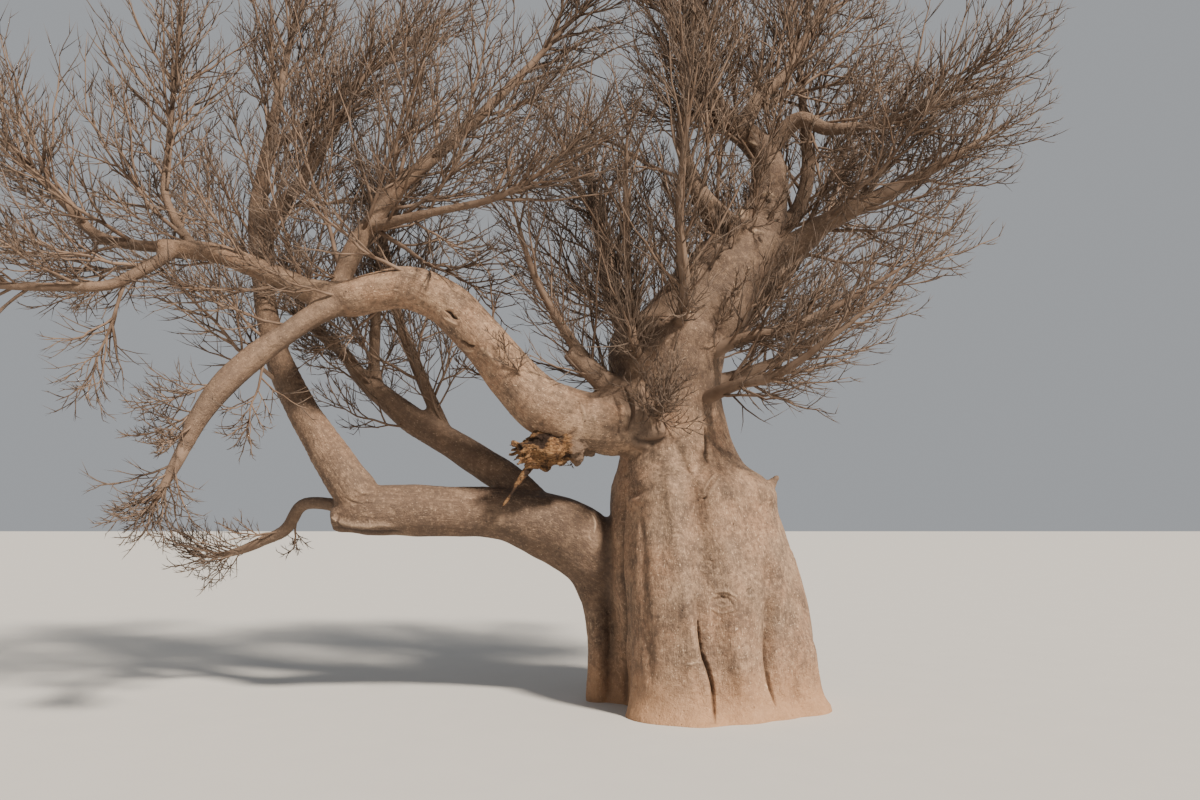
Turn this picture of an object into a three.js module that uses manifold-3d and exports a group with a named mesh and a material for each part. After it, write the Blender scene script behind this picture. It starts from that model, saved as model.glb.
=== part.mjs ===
// A bare baobab tree in the dry season, rooted in the ground.
// A bottle-shaped trunk of fused columns carries an arched bough and a level bough that turns up at an elbow,
// both reaching far to the left, and a leaning leader with the head of the crown.
// Every thin crown mass is a stem with shoots that branch by one seeded rule.
// Millimetres, +X to the right, +Y away from the viewer, +Z up. The origin is the middle of the flat cut at the ground.

import * as THREE from "three";
import { mergeVertices } from "three/addons/utils/BufferGeometryUtils.js";
import Module from "manifold-3d";

const wasm = await Module();
wasm.setup();

// Driving sizes
const GAP = 0.4; // clearance between neighbouring pieces
const TRUNK_GAP = 0.9; // the same round the trunk, measured level, so that less is left where its face slopes
const UP = new THREE.Vector3(0, 0, 1);
const BACK = new THREE.Vector3(0, 1, 0);
const STEEP = 0.8; // past this share along a reference direction, another one is taken

// Trunk: height of a section, how far its middle leans to the right, and its outer radius
const TRUNK_SECTIONS = [
  [0, 10, 1520],
  [250, 0, 1450],
  [800, -10, 1420],
  [1400, -20, 1420],
  [2000, -95, 1290],
  [2500, -160, 1140],
  [2850, -180, 1080],
  [3150, -330, 860],
  [3450, -385, 750],
  [3800, -440, 715],
  [4200, -520, 740],
  [4600, -520, 800],
  [4950, -450, 790],
  [5200, -380, 590],
  [5330, -340, 280],
];
const TRUNK_TOP = TRUNK_SECTIONS[TRUNK_SECTIONS.length - 1][0];
const TRUNK_SIDES = 42;
const TRUNK_STEPS = 14;
const FLUTE_DEPTH = 450; // how deep the flutes between the columns are at the ground
const FLUTE_TOP = 2900; // height where the flutes have run out
const FLUTE_FADE = 1.5; // how soon they grow shallow on the way up

// The columns that the trunk is fused from: angle round the trunk (0 is +X), how far its foot stands out,
// the column's own radius and the height where it melts into the trunk
const COLUMNS = [
  { angle: -122, proud: 90, radius: 520, top: 4200 },
  { angle: -77, proud: -60, radius: 400, top: 1750 },
  { angle: -26, proud: 60, radius: 470, top: 1500 },
  { angle: 24, proud: 30, radius: 480, top: 2400 },
  { angle: 68, proud: -20, radius: 470, top: 2100 },
  { angle: 114, proud: 40, radius: 500, top: 3000 },
  { angle: 162, proud: -40, radius: 480, top: 2900 },
];
const COLUMN_BLEND = 26; // how sharply one column meets the next
const COLUMN_FADE = 0.45; // the share of its height where a column begins to melt away

// The thin strut down the left side, from under the level bough to the ground
const STRUT = [
  [-1430, 150, -60, 190],
  [-1440, 130, 500, 160],
  [-1450, 120, 1000, 160],
  [-1450, 110, 1450, 190],
  [-1400, 110, 1900, 220],
];

const CUT_SIZE = 8000; // the block that keeps only what stands above the ground

// The swollen collar that the arched bough and the broom of shoots spring from
const COLLAR = { centre: [-830, -430, 3690], radii: [400, 360, 330] };

// Boughs. Each path is a list of waypoints [right, back, up, radius]. A path that bends round a wide gap
// is split into pieces, and ends gives the waypoint where each piece ends.
const BOUGHS = [
  {
    path: [
      [-500, -150, 3600, 400],
      [-1430, -550, 3650, 382],
      [-2110, -750, 3840, 389],
      [-2530, -850, 4200, 323],
      [-2980, -950, 4730, 296],
      [-3430, -1000, 5180, 284],
      [-3880, -1050, 5360, 270],
      [-4310, -1100, 5310, 256],
      [-4700, -1100, 5210, 235],
      [-5130, -1150, 5300, 166],
      [-5440, -1200, 5420, 153],
      [-5860, -1300, 5600, 133],
      [-6270, -1400, 5730, 126],
      [-6860, -1500, 5770, 112],
    ],
    pieces: ["arch_rise", "arch_crown", "arch_reach"],
    ends: [5, 8, 13],
  },
  {
    path: [
      [-4560, -1110, 5250, 170],
      [-5030, -1250, 4970, 150],
      [-5350, -1400, 4680, 137],
      [-5640, -1500, 4430, 148],
      [-5960, -1700, 4030, 145],
      [-6200, -1800, 3630, 113],
      [-6340, -1900, 3220, 82],
    ],
    pieces: ["arch_drop"],
    ends: [6],
  },
  {
    path: [
      [-4850, -1030, 5230, 130],
      [-4700, -800, 5870, 132],
      [-4470, -700, 6340, 120],
      [-4170, -550, 6860, 108],
      [-3820, -500, 7200, 95],
      [-3340, -300, 7750, 83],
      [-2920, -200, 8230, 70],
    ],
    pieces: ["arch_riser"],
    ends: [6],
  },
  {
    path: [
      [-4530, -730, 6220, 67],
      [-4140, -1000, 6250, 72],
      [-3660, -1200, 6300, 58],
      [-3040, -1400, 6360, 51],
    ],
    pieces: ["arch_side"],
    ends: [3],
  },
  {
    path: [
      [-6700, -1480, 5760, 85],
      [-7060, -1700, 5410, 79],
      [-7370, -1900, 5190, 66],
      [-7800, -2100, 5130, 59],
    ],
    pieces: ["west_low"],
    ends: [3],
  },
  {
    path: [
      [-6600, -1440, 5770, 78],
      [-7360, -1330, 5860, 75],
      [-7850, -1250, 6010, 70],
      [-8290, -1200, 6420, 58],
    ],
    pieces: ["west_up"],
    ends: [3],
  },
  {
    path: [
      [-6480, -1420, 5750, 63],
      [-6850, -1150, 6150, 58],
      [-7120, -1000, 6650, 52],
      [-7150, -900, 7130, 46],
    ],
    pieces: ["west_rise"],
    ends: [3],
  },
  {
    path: [
      [-800, 240, 1640, 430],
      [-1300, 170, 1840, 480],
      [-1770, 120, 2060, 560],
      [-2180, 50, 2330, 435],
      [-2780, -50, 2480, 351],
      [-3450, -150, 2510, 335],
      [-4100, -220, 2530, 334],
      [-4550, -300, 2510, 318],
      [-4880, -300, 2430, 199],
    ],
    pieces: ["level_bough"],
    ends: [8],
  },
  {
    path: [
      [-4430, -300, 2450, 290],
      [-4830, -300, 2960, 272],
      [-5140, -200, 3400, 243],
      [-5490, -100, 3890, 204],
      [-5810, 100, 4410, 188],
      [-6070, 300, 4930, 170],
      [-6290, 500, 5700, 159],
      [-6390, 600, 6470, 176],
      [-6490, 700, 7030, 133],
      [-6440, 800, 7740, 105],
      [-6340, 800, 8380, 83],
    ],
    pieces: ["elbow_rise", "elbow_mast"],
    ends: [5, 10],
  },
  {
    path: [
      [-6390, 600, 6500, 102],
      [-6090, 500, 6960, 102],
      [-5750, 400, 7280, 80],
      [-5470, 300, 7690, 65],
    ],
    pieces: ["mast_side"],
    ends: [3],
  },
  {
    path: [
      [-6400, 800, 8010, 72],
      [-6080, 950, 8190, 72],
      [-5720, 1050, 8650, 62],
      [-5250, 1150, 9100, 50],
    ],
    pieces: ["mast_high"],
    ends: [3],
  },
  {
    path: [
      [-4740, -200, 2540, 100],
      [-5260, 100, 2630, 89],
      [-5590, 300, 2580, 83],
      [-5820, 400, 2260, 84],
      [-6220, 500, 2080, 70],
    ],
    pieces: ["elbow_low"],
    ends: [4],
  },
  {
    path: [
      [-2150, 60, 2400, 232],
      [-2610, 200, 2880, 228],
      [-3080, 300, 3190, 223],
      [-3540, 400, 3480, 197],
      [-4090, 500, 3810, 185],
      [-4520, 600, 4140, 158],
      [-4880, 700, 4440, 123],
      [-5140, 700, 4780, 87],
      [-5470, 700, 5060, 80],
    ],
    pieces: ["slant_bough"],
    ends: [8],
  },
  {
    path: [
      [-4560, 610, 4170, 90],
      [-4700, 700, 4560, 80],
      [-4710, 700, 5120, 80],
      [-4700, 700, 5600, 73],
    ],
    pieces: ["slant_post"],
    ends: [3],
  },
  {
    path: [
      [-3560, 400, 3490, 110],
      [-3960, 600, 4330, 93],
      [-4160, 700, 4780, 87],
      [-4400, 800, 5360, 74],
      [-4590, 900, 6220, 60],
    ],
    pieces: ["slant_rise"],
    ends: [4],
  },
  {
    path: [
      [-330, 0, 4900, 640],
      [0, 0, 5320, 640],
      [360, 50, 5810, 570],
      [710, 100, 6300, 440],
      [930, 150, 6850, 299],
      [960, 150, 7440, 240],
      [740, 100, 7780, 205],
      [330, 0, 8070, 171],
      [100, -100, 8380, 142],
      [30, -100, 8720, 107],
      [-160, -200, 9000, 99],
    ],
    pieces: ["leader", "leader_top"],
    ends: [5, 10],
  },
  {
    path: [
      [640, 60, 6220, 215],
      [240, -150, 6520, 200],
      [-60, -340, 6850, 135],
      [-250, -450, 7250, 95],
      [-310, -500, 7640, 82],
      [-260, -600, 8110, 75],
    ],
    pieces: ["inner_riser"],
    ends: [5],
  },
  {
    path: [
      [850, 150, 6350, 150],
      [1420, 480, 6850, 117],
      [1660, 700, 7530, 104],
      [1650, 800, 8150, 83],
    ],
    pieces: ["east_riser"],
    ends: [3],
  },
  {
    path: [
      [420, 80, 5800, 230],
      [1280, -100, 6200, 185],
      [1620, -300, 6420, 137],
      [1980, -500, 6570, 115],
      [2350, -600, 6730, 101],
    ],
    pieces: ["east_bough"],
    ends: [4],
  },
  {
    path: [
      [900, 130, 7560, 130],
      [1350, -100, 8000, 113],
      [1730, -300, 7790, 90],
      [2130, -500, 7750, 68],
    ],
    pieces: ["east_upper"],
    ends: [3],
  },
  {
    path: [
      [560, 70, 7900, 125],
      [900, 300, 8510, 109],
      [1330, 500, 8980, 89],
      [1550, 600, 9390, 75],
    ],
    pieces: ["crown_east"],
    ends: [3],
  },
  {
    path: [
      [-560, 300, 4520, 300],
      [-900, 1050, 5150, 240],
      [-1250, 1650, 6000, 180],
      [-1420, 2100, 7000, 110],
    ],
    pieces: ["back_left"],
    ends: [3],
  },
  {
    path: [
      [-330, 300, 4600, 300],
      [450, 1000, 5200, 240],
      [1200, 1650, 5950, 170],
      [1900, 2200, 6800, 105],
    ],
    pieces: ["back_right"],
    ends: [3],
  },
];
const BOUGH_SIDES = 8;

// The torn stub under the arched bough: its path, and the splinters that its end has split into
const TORN_STUB = [
  [-1560, -600, 3560, 250],
  [-1900, -740, 3370, 215],
  [-2180, -830, 3300, 180],
  [-2420, -880, 3260, 110],
];
const SPLINTERS = [
  { tip: [-2680, -930, 2760], radius: 95 },
  { tip: [-2640, -980, 3330], radius: 120 },
  { tip: [-2600, -800, 3180], radius: 110 },
  { tip: [-2470, -1030, 3120], radius: 105 },
];
const SPLINTER_ROOT = 0.72; // where along the stub they part

// Crown masses. Each has one stem that goes on from a bough's tip, or from the trunk along waypoints of its own.
// length is how far the stem goes on, lift how much it turns up on the way, and reach the length of its shoots.
const MASSES = [
  { name: "crown_top_twigs", bough: "leader_top", length: 1900, lift: 0.4, reach: 2000 },
  { name: "crown_east_twigs", bough: "crown_east", length: 1700, lift: 0.0, reach: 2000 },
  { name: "east_upper_twigs", bough: "east_upper", length: 1700, lift: 0.45, reach: 1900 },
  { name: "east_riser_twigs", bough: "east_riser", length: 1800, lift: 0.1, reach: 1900 },
  { name: "east_bough_twigs", bough: "east_bough", length: 1600, lift: 0.1, reach: 1500 },
  { name: "inner_riser_twigs", bough: "inner_riser", length: 1900, lift: 0.1, reach: 1700 },
  { name: "back_left_twigs", bough: "back_left", length: 1900, lift: 0.0, reach: 1900 },
  { name: "back_right_twigs", bough: "back_right", length: 1900, lift: 0.1, reach: 1900 },
  { name: "arch_riser_twigs", bough: "arch_riser", length: 2100, lift: 0.1, reach: 1900 },
  { name: "arch_side_twigs", bough: "arch_side", length: 1500, lift: 0.4, reach: 1500 },
  { name: "west_low_twigs", bough: "west_low", length: 1700, lift: 0.15, reach: 1500 },
  { name: "west_up_twigs", bough: "west_up", length: 1800, lift: 0.1, reach: 1700 },
  { name: "west_rise_twigs", bough: "west_rise", length: 1900, lift: 0.1, reach: 1800 },
  { name: "arch_drop_twigs", bough: "arch_drop", length: 900, lift: 0.1, reach: 1000 },
  { name: "mast_top_twigs", bough: "elbow_mast", length: 1900, lift: 0.0, reach: 1900 },
  { name: "mast_side_twigs", bough: "mast_side", length: 1500, lift: 0.1, reach: 1600 },
  { name: "mast_high_twigs", bough: "mast_high", length: 1700, lift: 0.0, reach: 1700 },
  { name: "elbow_low_twigs", bough: "elbow_low", length: 1000, lift: 0.2, reach: 1000 },
  { name: "slant_tip_twigs", bough: "slant_bough", length: 750, lift: 0.6, reach: 1000 },
  { name: "slant_post_twigs", bough: "slant_post", length: 1300, lift: 0.0, reach: 1200 },
  { name: "slant_rise_twigs", bough: "slant_rise", length: 1400, lift: 0.0, reach: 1300 },
  {
    name: "collar_twigs",
    path: [
      [-1000, -420, 4150, 120],
      [-1430, -700, 4290, 100],
      [-1870, -900, 4800, 65],
      [-2310, -1100, 5610, 45],
      [-2620, -1250, 6700, 22],
    ],
    reach: 1500,
  },
  {
    name: "post_twigs",
    path: [
      [-760, -350, 4250, 105],
      [-1000, -950, 4650, 70],
      [-1060, -1080, 5250, 58],
      [-1100, -1180, 6480, 42],
      [-1080, -1260, 7600, 20],
    ],
    reach: 1500,
  },
  {
    name: "shade_twigs",
    path: [
      [-800, 100, 4700, 130],
      [-1250, 180, 5380, 99],
      [-1350, 300, 6380, 72],
      [-1790, 300, 7270, 51],
      [-2200, 350, 8500, 22],
    ],
    reach: 1700,
  },
  {
    name: "fan_low_twigs",
    path: [
      [-300, -250, 3880, 106],
      [280, -900, 4110, 77],
      [770, -1300, 4200, 62],
      [1370, -1700, 4600, 42],
      [2500, -2250, 5500, 18],
    ],
    reach: 1600,
  },
  {
    name: "fan_mid_twigs",
    path: [
      [-250, -250, 4450, 107],
      [380, -650, 4750, 80],
      [880, -900, 4830, 68],
      [1600, -1050, 5120, 50],
      [3000, -1250, 5950, 20],
    ],
    reach: 1700,
  },
  {
    name: "front_twigs",
    path: [
      [-450, -400, 4750, 100],
      [-350, -1150, 5250, 75],
      [-450, -1650, 6050, 58],
      [-400, -2050, 7000, 40],
      [-250, -2350, 7900, 20],
    ],
    reach: 1700,
  },
  {
    name: "back_low_twigs",
    path: [
      [-450, 350, 3950, 110],
      [-600, 1250, 4300, 80],
      [-500, 2050, 4900, 60],
      [-350, 2850, 5700, 22],
    ],
    reach: 1600,
  },
  {
    name: "fan_back_twigs",
    path: [
      [-200, 150, 4250, 110],
      [650, 600, 4500, 80],
      [1500, 950, 4900, 60],
      [2700, 1350, 5700, 22],
    ],
    reach: 1700,
  },
  {
    name: "broom_twigs",
    path: [
      [-800, -500, 3700, 60],
      [-700, -900, 3760, 50],
      [-620, -1150, 3900, 20],
    ],
    reach: 900,
  },
];
const STEM_SIDES = 4;
const STEM_STEPS = 4;
const STEM_TIP_SHARE = 0.3; // a stem's tip radius, as a share of the radius it starts with

// The seeded rule for the shoots. The full rule grows SHOOTS_ON_STEM shoots on each stem and SHOOTS_ON_SHOOT on each
// of those. These solids carry only some of them, taken in strides that spread them evenly.
const SEED = 20417;
const GOLDEN_ANGLE = 2.39996;
const SHOOTS_ON_STEM = 24;
const STEM_STRIDE = 7;
const SOLID_SHOOTS = 7;
const SHOOTS_ON_SHOOT = 9;
const SHOOT_STRIDE = 5;
const SOLID_SECONDS = 1;
const FIRST_SHARE = 0.16; // where the first shoot leaves its parent
const SHARE_JITTER = 0.6; // how unevenly the shoots are spaced, as a share of their spacing
const TURN_JITTER = 1.2; // how unevenly they turn round the parent, in radians
const SHOOT_TILT = [0.45, 1.05]; // least and most angle from the parent's direction, in radians
const TILT_EASE = 0.35; // how much of that angle is gone at the parent's tip
const SHOOT_SIZE = [0.75, 1.15]; // shortest and longest shoot, as shares of the reach
const SIZE_EASE = 0.45; // how much shorter a shoot is at the parent's tip
const SHOOT_LIFT = 0.22; // how far a shoot's tip turns up, as a share of its length
const SHOOT_SWAY = 0.24; // and how far it strays to a side, the same way
const SECOND_SHARE = 0.5; // length of a second shoot, as a share of the first
const SHOOT_SLENDERNESS = 66; // length of a first shoot over its radius
const SECOND_SLENDERNESS = 50;
const SPACE_MARGIN = 25; // a shoot keeps this far inside its mass's own space
const LIMB_MARGIN = 30; // and this far from every limb
const GROUND_MARGIN = 900; // and this far above the ground
const LINE_SAMPLES = 24; // stretches that a limb's middle line is measured in

// Curves

function lerp(a, b, share) {
  return a + (b - a) * share;
}

// A smooth line through waypoints [x, y, z, radius] that also knows its radius.
function limbLine(waypoints) {
  const points = waypoints.map(([x, y, z]) => new THREE.Vector3(x, y, z));
  const curve = new THREE.CatmullRomCurve3(points, false, "catmullrom", 0.5);
  const last = waypoints.length - 1;
  curve.radiusAt = (t) => {
    const place = THREE.MathUtils.clamp(t, 0, 1) * last;
    const before = Math.min(Math.floor(place), last - 1);
    return lerp(waypoints[before][3], waypoints[before + 1][3], place - before);
  };
  return curve;
}

// A curve as a row of points with its radius at each.
function sampled(curve) {
  return Array.from({ length: LINE_SAMPLES + 1 }, (_, i) => {
    const t = i / LINE_SAMPLES;
    return { point: curve.getPoint(t), radius: curve.radiusAt(t) };
  });
}

// Turns a geometry into one solid, with the vertices on its seams merged.
function solidOf(geometry) {
  geometry.deleteAttribute("normal");
  geometry.deleteAttribute("uv");
  const merged = mergeVertices(geometry);
  return new wasm.Manifold(
    new wasm.Mesh({
      numProp: 3,
      vertProperties: merged.attributes.position.array,
      triVerts: new Uint32Array(merged.index.array),
    }),
  );
}

// Moves each vertex of an upright unit cylinder or cone onto a ring round the curve.
function bendAlong(geometry, curve, from, to, swell, steps) {
  geometry.deleteAttribute("normal");
  geometry.deleteAttribute("uv");
  const bent = mergeVertices(geometry);
  const chord = curve.getPoint(to).sub(curve.getPoint(from)).normalize();
  const reference = Math.abs(chord.y) > STEEP ? UP : BACK;
  const rings = [];
  for (let i = 0; i <= steps; i++) {
    const t = lerp(from, to, i / steps);
    const along = curve.getTangent(t).normalize();
    const side = new THREE.Vector3().crossVectors(along, reference).normalize();
    const across = new THREE.Vector3().crossVectors(side, along);
    const overrun = i === 0 ? -swell : i === steps ? swell : 0;
    const centre = curve.getPoint(t).addScaledVector(along, overrun);
    rings.push({ centre, side, across, radius: curve.radiusAt(t) + swell });
  }
  const position = bent.attributes.position;
  for (let i = 0; i < position.count; i++) {
    const ring = rings[Math.round((position.getY(i) + 0.5) * steps)];
    const place = ring.centre
      .clone()
      .addScaledVector(ring.side, position.getX(i) * ring.radius)
      .addScaledVector(ring.across, position.getZ(i) * ring.radius);
    position.setXYZ(i, place.x, place.y, place.z);
  }
  return solidOf(bent);
}

// A tapering limb round a curve, closed at both ends.
function limb(curve, from, to, sides, steps, swell = 0) {
  return bendAlong(new THREE.CylinderGeometry(1, 1, 1, sides, steps), curve, from, to, swell, steps);
}

// A shoot that tapers to a point.
function shootSolid(shoot, sides, steps) {
  const curve = new THREE.QuadraticBezierCurve3(shoot.root, shoot.middle, shoot.tip);
  curve.radiusAt = () => shoot.radius;
  return bendAlong(new THREE.ConeGeometry(1, 1, sides, steps), curve, 0, 1, 0, steps);
}

function largestPiece(solid) {
  return solid.decompose().reduce((best, piece) => (piece.volume() > best.volume() ? piece : best));
}

function joined(solids) {
  return solids.reduce((whole, solid) => whole.add(solid));
}

function apart(solid, others) {
  return largestPiece(others.reduce((rest, other) => rest.subtract(other), solid));
}

function touches(solid, others) {
  return others.some((other) => !solid.intersect(other).isEmpty());
}

// Trunk

const trunkAxis = new THREE.CatmullRomCurve3(
  TRUNK_SECTIONS.map(([height, lean, radius]) => new THREE.Vector3(lean, radius, height)),
  false,
  "catmullrom",
  0.5,
);

// The trunk's outline at one height and angle, as a distance from its axis: the columns merge by a smooth maximum.
function trunkRadius(outer, height, angle) {
  const flute = FLUTE_DEPTH * Math.pow(Math.max(0, 1 - height / FLUTE_TOP), FLUTE_FADE);
  const core = outer - flute;
  let sum = Math.pow(core, COLUMN_BLEND);
  for (const column of COLUMNS) {
    const presence = 1 - THREE.MathUtils.smoothstep(height, COLUMN_FADE * column.top, column.top);
    const far = core + (outer + column.proud - core) * presence;
    const radius = column.radius * (outer / TRUNK_SECTIONS[0][2]);
    const turn = angle - THREE.MathUtils.degToRad(column.angle);
    const offset = (far - radius) * Math.sin(turn);
    if (presence > 0 && Math.cos(turn) > 0 && Math.abs(offset) < radius) {
      const reach = (far - radius) * Math.cos(turn) + Math.sqrt(radius * radius - offset * offset);
      sum += Math.pow(Math.max(reach, 0), COLUMN_BLEND);
    }
  }
  return Math.pow(sum, 1 / COLUMN_BLEND);
}

function trunkBody(swell) {
  const geometry = new THREE.CylinderGeometry(1, 1, 1, TRUNK_SIDES, TRUNK_STEPS);
  geometry.deleteAttribute("normal");
  geometry.deleteAttribute("uv");
  const body = mergeVertices(geometry);
  const position = body.attributes.position;
  for (let i = 0; i < position.count; i++) {
    const section = trunkAxis.getPoint(position.getY(i) + 0.5);
    const across = Math.hypot(position.getX(i), position.getZ(i));
    const angle = Math.atan2(-position.getZ(i), position.getX(i));
    const radius = (trunkRadius(section.y, section.z, angle) + swell) * across;
    const height = section.z > TRUNK_TOP - 1 ? section.z + swell : section.z;
    position.setXYZ(i, section.x + radius * Math.cos(angle), radius * Math.sin(angle), height);
  }
  return solidOf(body);
}

function collarBurl(swell) {
  const burl = new THREE.IcosahedronGeometry(1, 1);
  burl.scale(...COLLAR.radii.map((radius) => radius + swell));
  burl.translate(...COLLAR.centre);
  return solidOf(burl);
}

function trunkSolid(swell = 0) {
  const strut = limb(limbLine(STRUT), 0, 1, BOUGH_SIDES, STRUT.length + 1, swell);
  const above = new THREE.BoxGeometry(CUT_SIZE, CUT_SIZE, CUT_SIZE).translate(0, 0, CUT_SIZE / 2 - swell);
  return joined([trunkBody(swell), strut, collarBurl(swell)]).intersect(solidOf(above));
}

// Boughs

const trunk = trunkSolid();
const placed = [{ name: "trunk", solid: trunk, cutter: trunkSolid(TRUNK_GAP) }];
const limbLines = []; // every limb's middle line, for the shoots to keep clear of

// The curve's parameter a short way further on.
function furtherOn(curve, t, distance) {
  const step = 0.001;
  const speed = curve.getPoint(t).distanceTo(curve.getPoint(t + step)) / step;
  return t + distance / speed;
}

function addBough({ path, pieces, ends }) {
  const curve = limbLine(path);
  const last = path.length - 1;
  let start = 0;
  pieces.forEach((name, i) => {
    const from = i > 0 ? furtherOn(curve, start / last, GAP) : 0;
    const to = ends[i] / last;
    const steps = Math.max(3, ends[i] - start);
    const raw = limb(curve, from, to, BOUGH_SIDES, steps);
    const others = placed.filter((other) => other.line !== curve).map((other) => other.cutter);
    const cutter = limb(curve, from, to, BOUGH_SIDES, steps, GAP);
    placed.push({ name, line: curve, end: to, solid: apart(raw, others), cutter });
    start = ends[i];
  });
  limbLines.push(sampled(curve));
}

// The stub is a tapering limb whose end is fused with the splinters that it has torn into.
function addTornStub() {
  const line = limbLine(TORN_STUB);
  const stub = limb(line, 0, 1, BOUGH_SIDES, TORN_STUB.length);
  const root = line.getPoint(SPLINTER_ROOT);
  const splinters = SPLINTERS.map(({ tip, radius }) => {
    const end = new THREE.Vector3(...tip);
    return shootSolid({ root, middle: root.clone().lerp(end, 0.5), tip: end, radius }, 4, 2);
  });
  const others = placed.map((other) => other.cutter);
  placed.push({ name: "torn_stub", solid: apart(joined([stub, ...splinters]), others) });
  limbLines.push(sampled(line));
}

// Crown masses

// A number from 0 to 1 that depends only on its two whole-number keys.
function chance(key, salt) {
  let mixed = (Math.imul(key, 0x9e3779b1) + Math.imul(salt, 0x85ebca77)) >>> 0;
  mixed = Math.imul(mixed ^ (mixed >>> 15), 0x2c1b3c6d) >>> 0;
  mixed = Math.imul(mixed ^ (mixed >>> 12), 0x297a2d39) >>> 0;
  return ((mixed ^ (mixed >>> 15)) >>> 0) / 4294967296;
}

// The n-th shoot on a parent curve: its root, its middle and tip, its radius and the key for its own shoots.
function shootOn(curve, parentKey, n, count, length, slenderness) {
  const key = (Math.imul(parentKey, 31) + n + 1) >>> 0;
  const share = FIRST_SHARE + (1 - FIRST_SHARE) * ((n + SHARE_JITTER * chance(key, 1)) / count);
  const root = curve.getPoint(share);
  const along = curve.getTangent(share).normalize();
  const reference = Math.abs(along.z) > STEEP ? BACK : UP;
  const side = new THREE.Vector3().crossVectors(along, reference).normalize();
  const across = new THREE.Vector3().crossVectors(side, along);
  const turn = GOLDEN_ANGLE * n + TURN_JITTER * chance(key, 2) + 2 * Math.PI * chance(parentKey, 7);
  const tilt = lerp(...SHOOT_TILT, chance(key, 3)) * (1 - TILT_EASE * share);
  const outward = side.multiplyScalar(Math.cos(turn)).addScaledVector(across, Math.sin(turn));
  const heading = along.multiplyScalar(Math.cos(tilt)).addScaledVector(outward, Math.sin(tilt));
  const size = length * lerp(...SHOOT_SIZE, chance(key, 4)) * (1 - SIZE_EASE * share);
  const sway = new THREE.Vector3(chance(key, 5) - 0.5, chance(key, 6) - 0.5, 0);
  const middle = root.clone().addScaledVector(heading, size / 2);
  const tip = root.clone().addScaledVector(heading, size).addScaledVector(UP, SHOOT_LIFT * size);
  tip.addScaledVector(sway, SHOOT_SWAY * size);
  return { root, middle, tip, radius: size / slenderness, key, size };
}

// The stem of a mass: on from its bough's tip, or along its own waypoints.
function stemLine(mass) {
  if (mass.path) return limbLine(mass.path);
  const bough = placed.find((one) => one.name === mass.bough);
  const tip = bough.line.getPoint(bough.end);
  const heading = bough.line.getTangent(bough.end).normalize();
  const radius = bough.line.radiusAt(bough.end);
  const root = tip.clone().addScaledVector(heading, GAP);
  const middle = root.clone().addScaledVector(heading, mass.length / 2);
  const end = root.clone().addScaledVector(heading, mass.length).addScaledVector(UP, mass.lift * mass.length);
  const curve = new THREE.QuadraticBezierCurve3(root, middle, end);
  curve.radiusAt = (t) => radius * lerp(1, STEM_TIP_SHARE, t);
  return curve;
}

// Distance from a point to the nearest stretch of a sampled line, less that line's radius there.
function clearance(point, line, useRadius) {
  let least = Infinity;
  const segment = new THREE.Line3();
  const nearest = new THREE.Vector3();
  for (let i = 1; i < line.length; i++) {
    segment.set(line[i - 1].point, line[i].point);
    const share = segment.closestPointToPointParameter(point, true);
    segment.at(share, nearest);
    const radius = useRadius ? lerp(line[i - 1].radius, line[i].radius, share) : 0;
    least = Math.min(least, nearest.distanceTo(point) - radius);
  }
  return least;
}

// A shoot is kept if it stays in its mass's own space, nearest to its own stem, and clear of the ground and the limbs.
function hasRoom(shoot, own, stems) {
  const curve = new THREE.QuadraticBezierCurve3(shoot.root, shoot.middle, shoot.tip);
  for (const t of [0.25, 0.5, 0.75, 1]) {
    const point = curve.getPoint(t);
    const girth = shoot.radius * (1 - t);
    if (point.z < GROUND_MARGIN) return false;
    const home = clearance(point, stems[own], false);
    const border = home + 2 * (SPACE_MARGIN + girth);
    if (stems.some((stem, i) => i !== own && clearance(point, stem, false) < border)) return false;
    if (limbLines.some((line) => clearance(point, line, true) < LIMB_MARGIN + girth)) return false;
    if (trunkHolds(point, LIMB_MARGIN + girth)) return false;
  }
  return true;
}

function trunkHolds(point, margin) {
  if (point.z > TRUNK_TOP + margin) return false;
  const share = TRUNK_SECTIONS.findIndex(([height]) => height > point.z);
  const above = share < 0 ? TRUNK_SECTIONS.length - 1 : share;
  const [low, high] = [TRUNK_SECTIONS[above - 1], TRUNK_SECTIONS[above]];
  const mix = THREE.MathUtils.clamp((point.z - low[0]) / (high[0] - low[0]), 0, 1);
  const lean = lerp(low[1], high[1], mix);
  return Math.hypot(point.x - lean, point.y) < lerp(low[2], high[2], mix) + margin;
}

// The shoots on a parent that have room, at most the given number, tried in strides along it.
function shootsWithRoom(wanted, count, stride, build, fits) {
  const kept = [];
  for (let i = 0; i < count && kept.length < wanted; i++) {
    const shoot = build((i * stride) % count);
    if (fits(shoot)) kept.push(shoot);
  }
  return kept;
}

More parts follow.
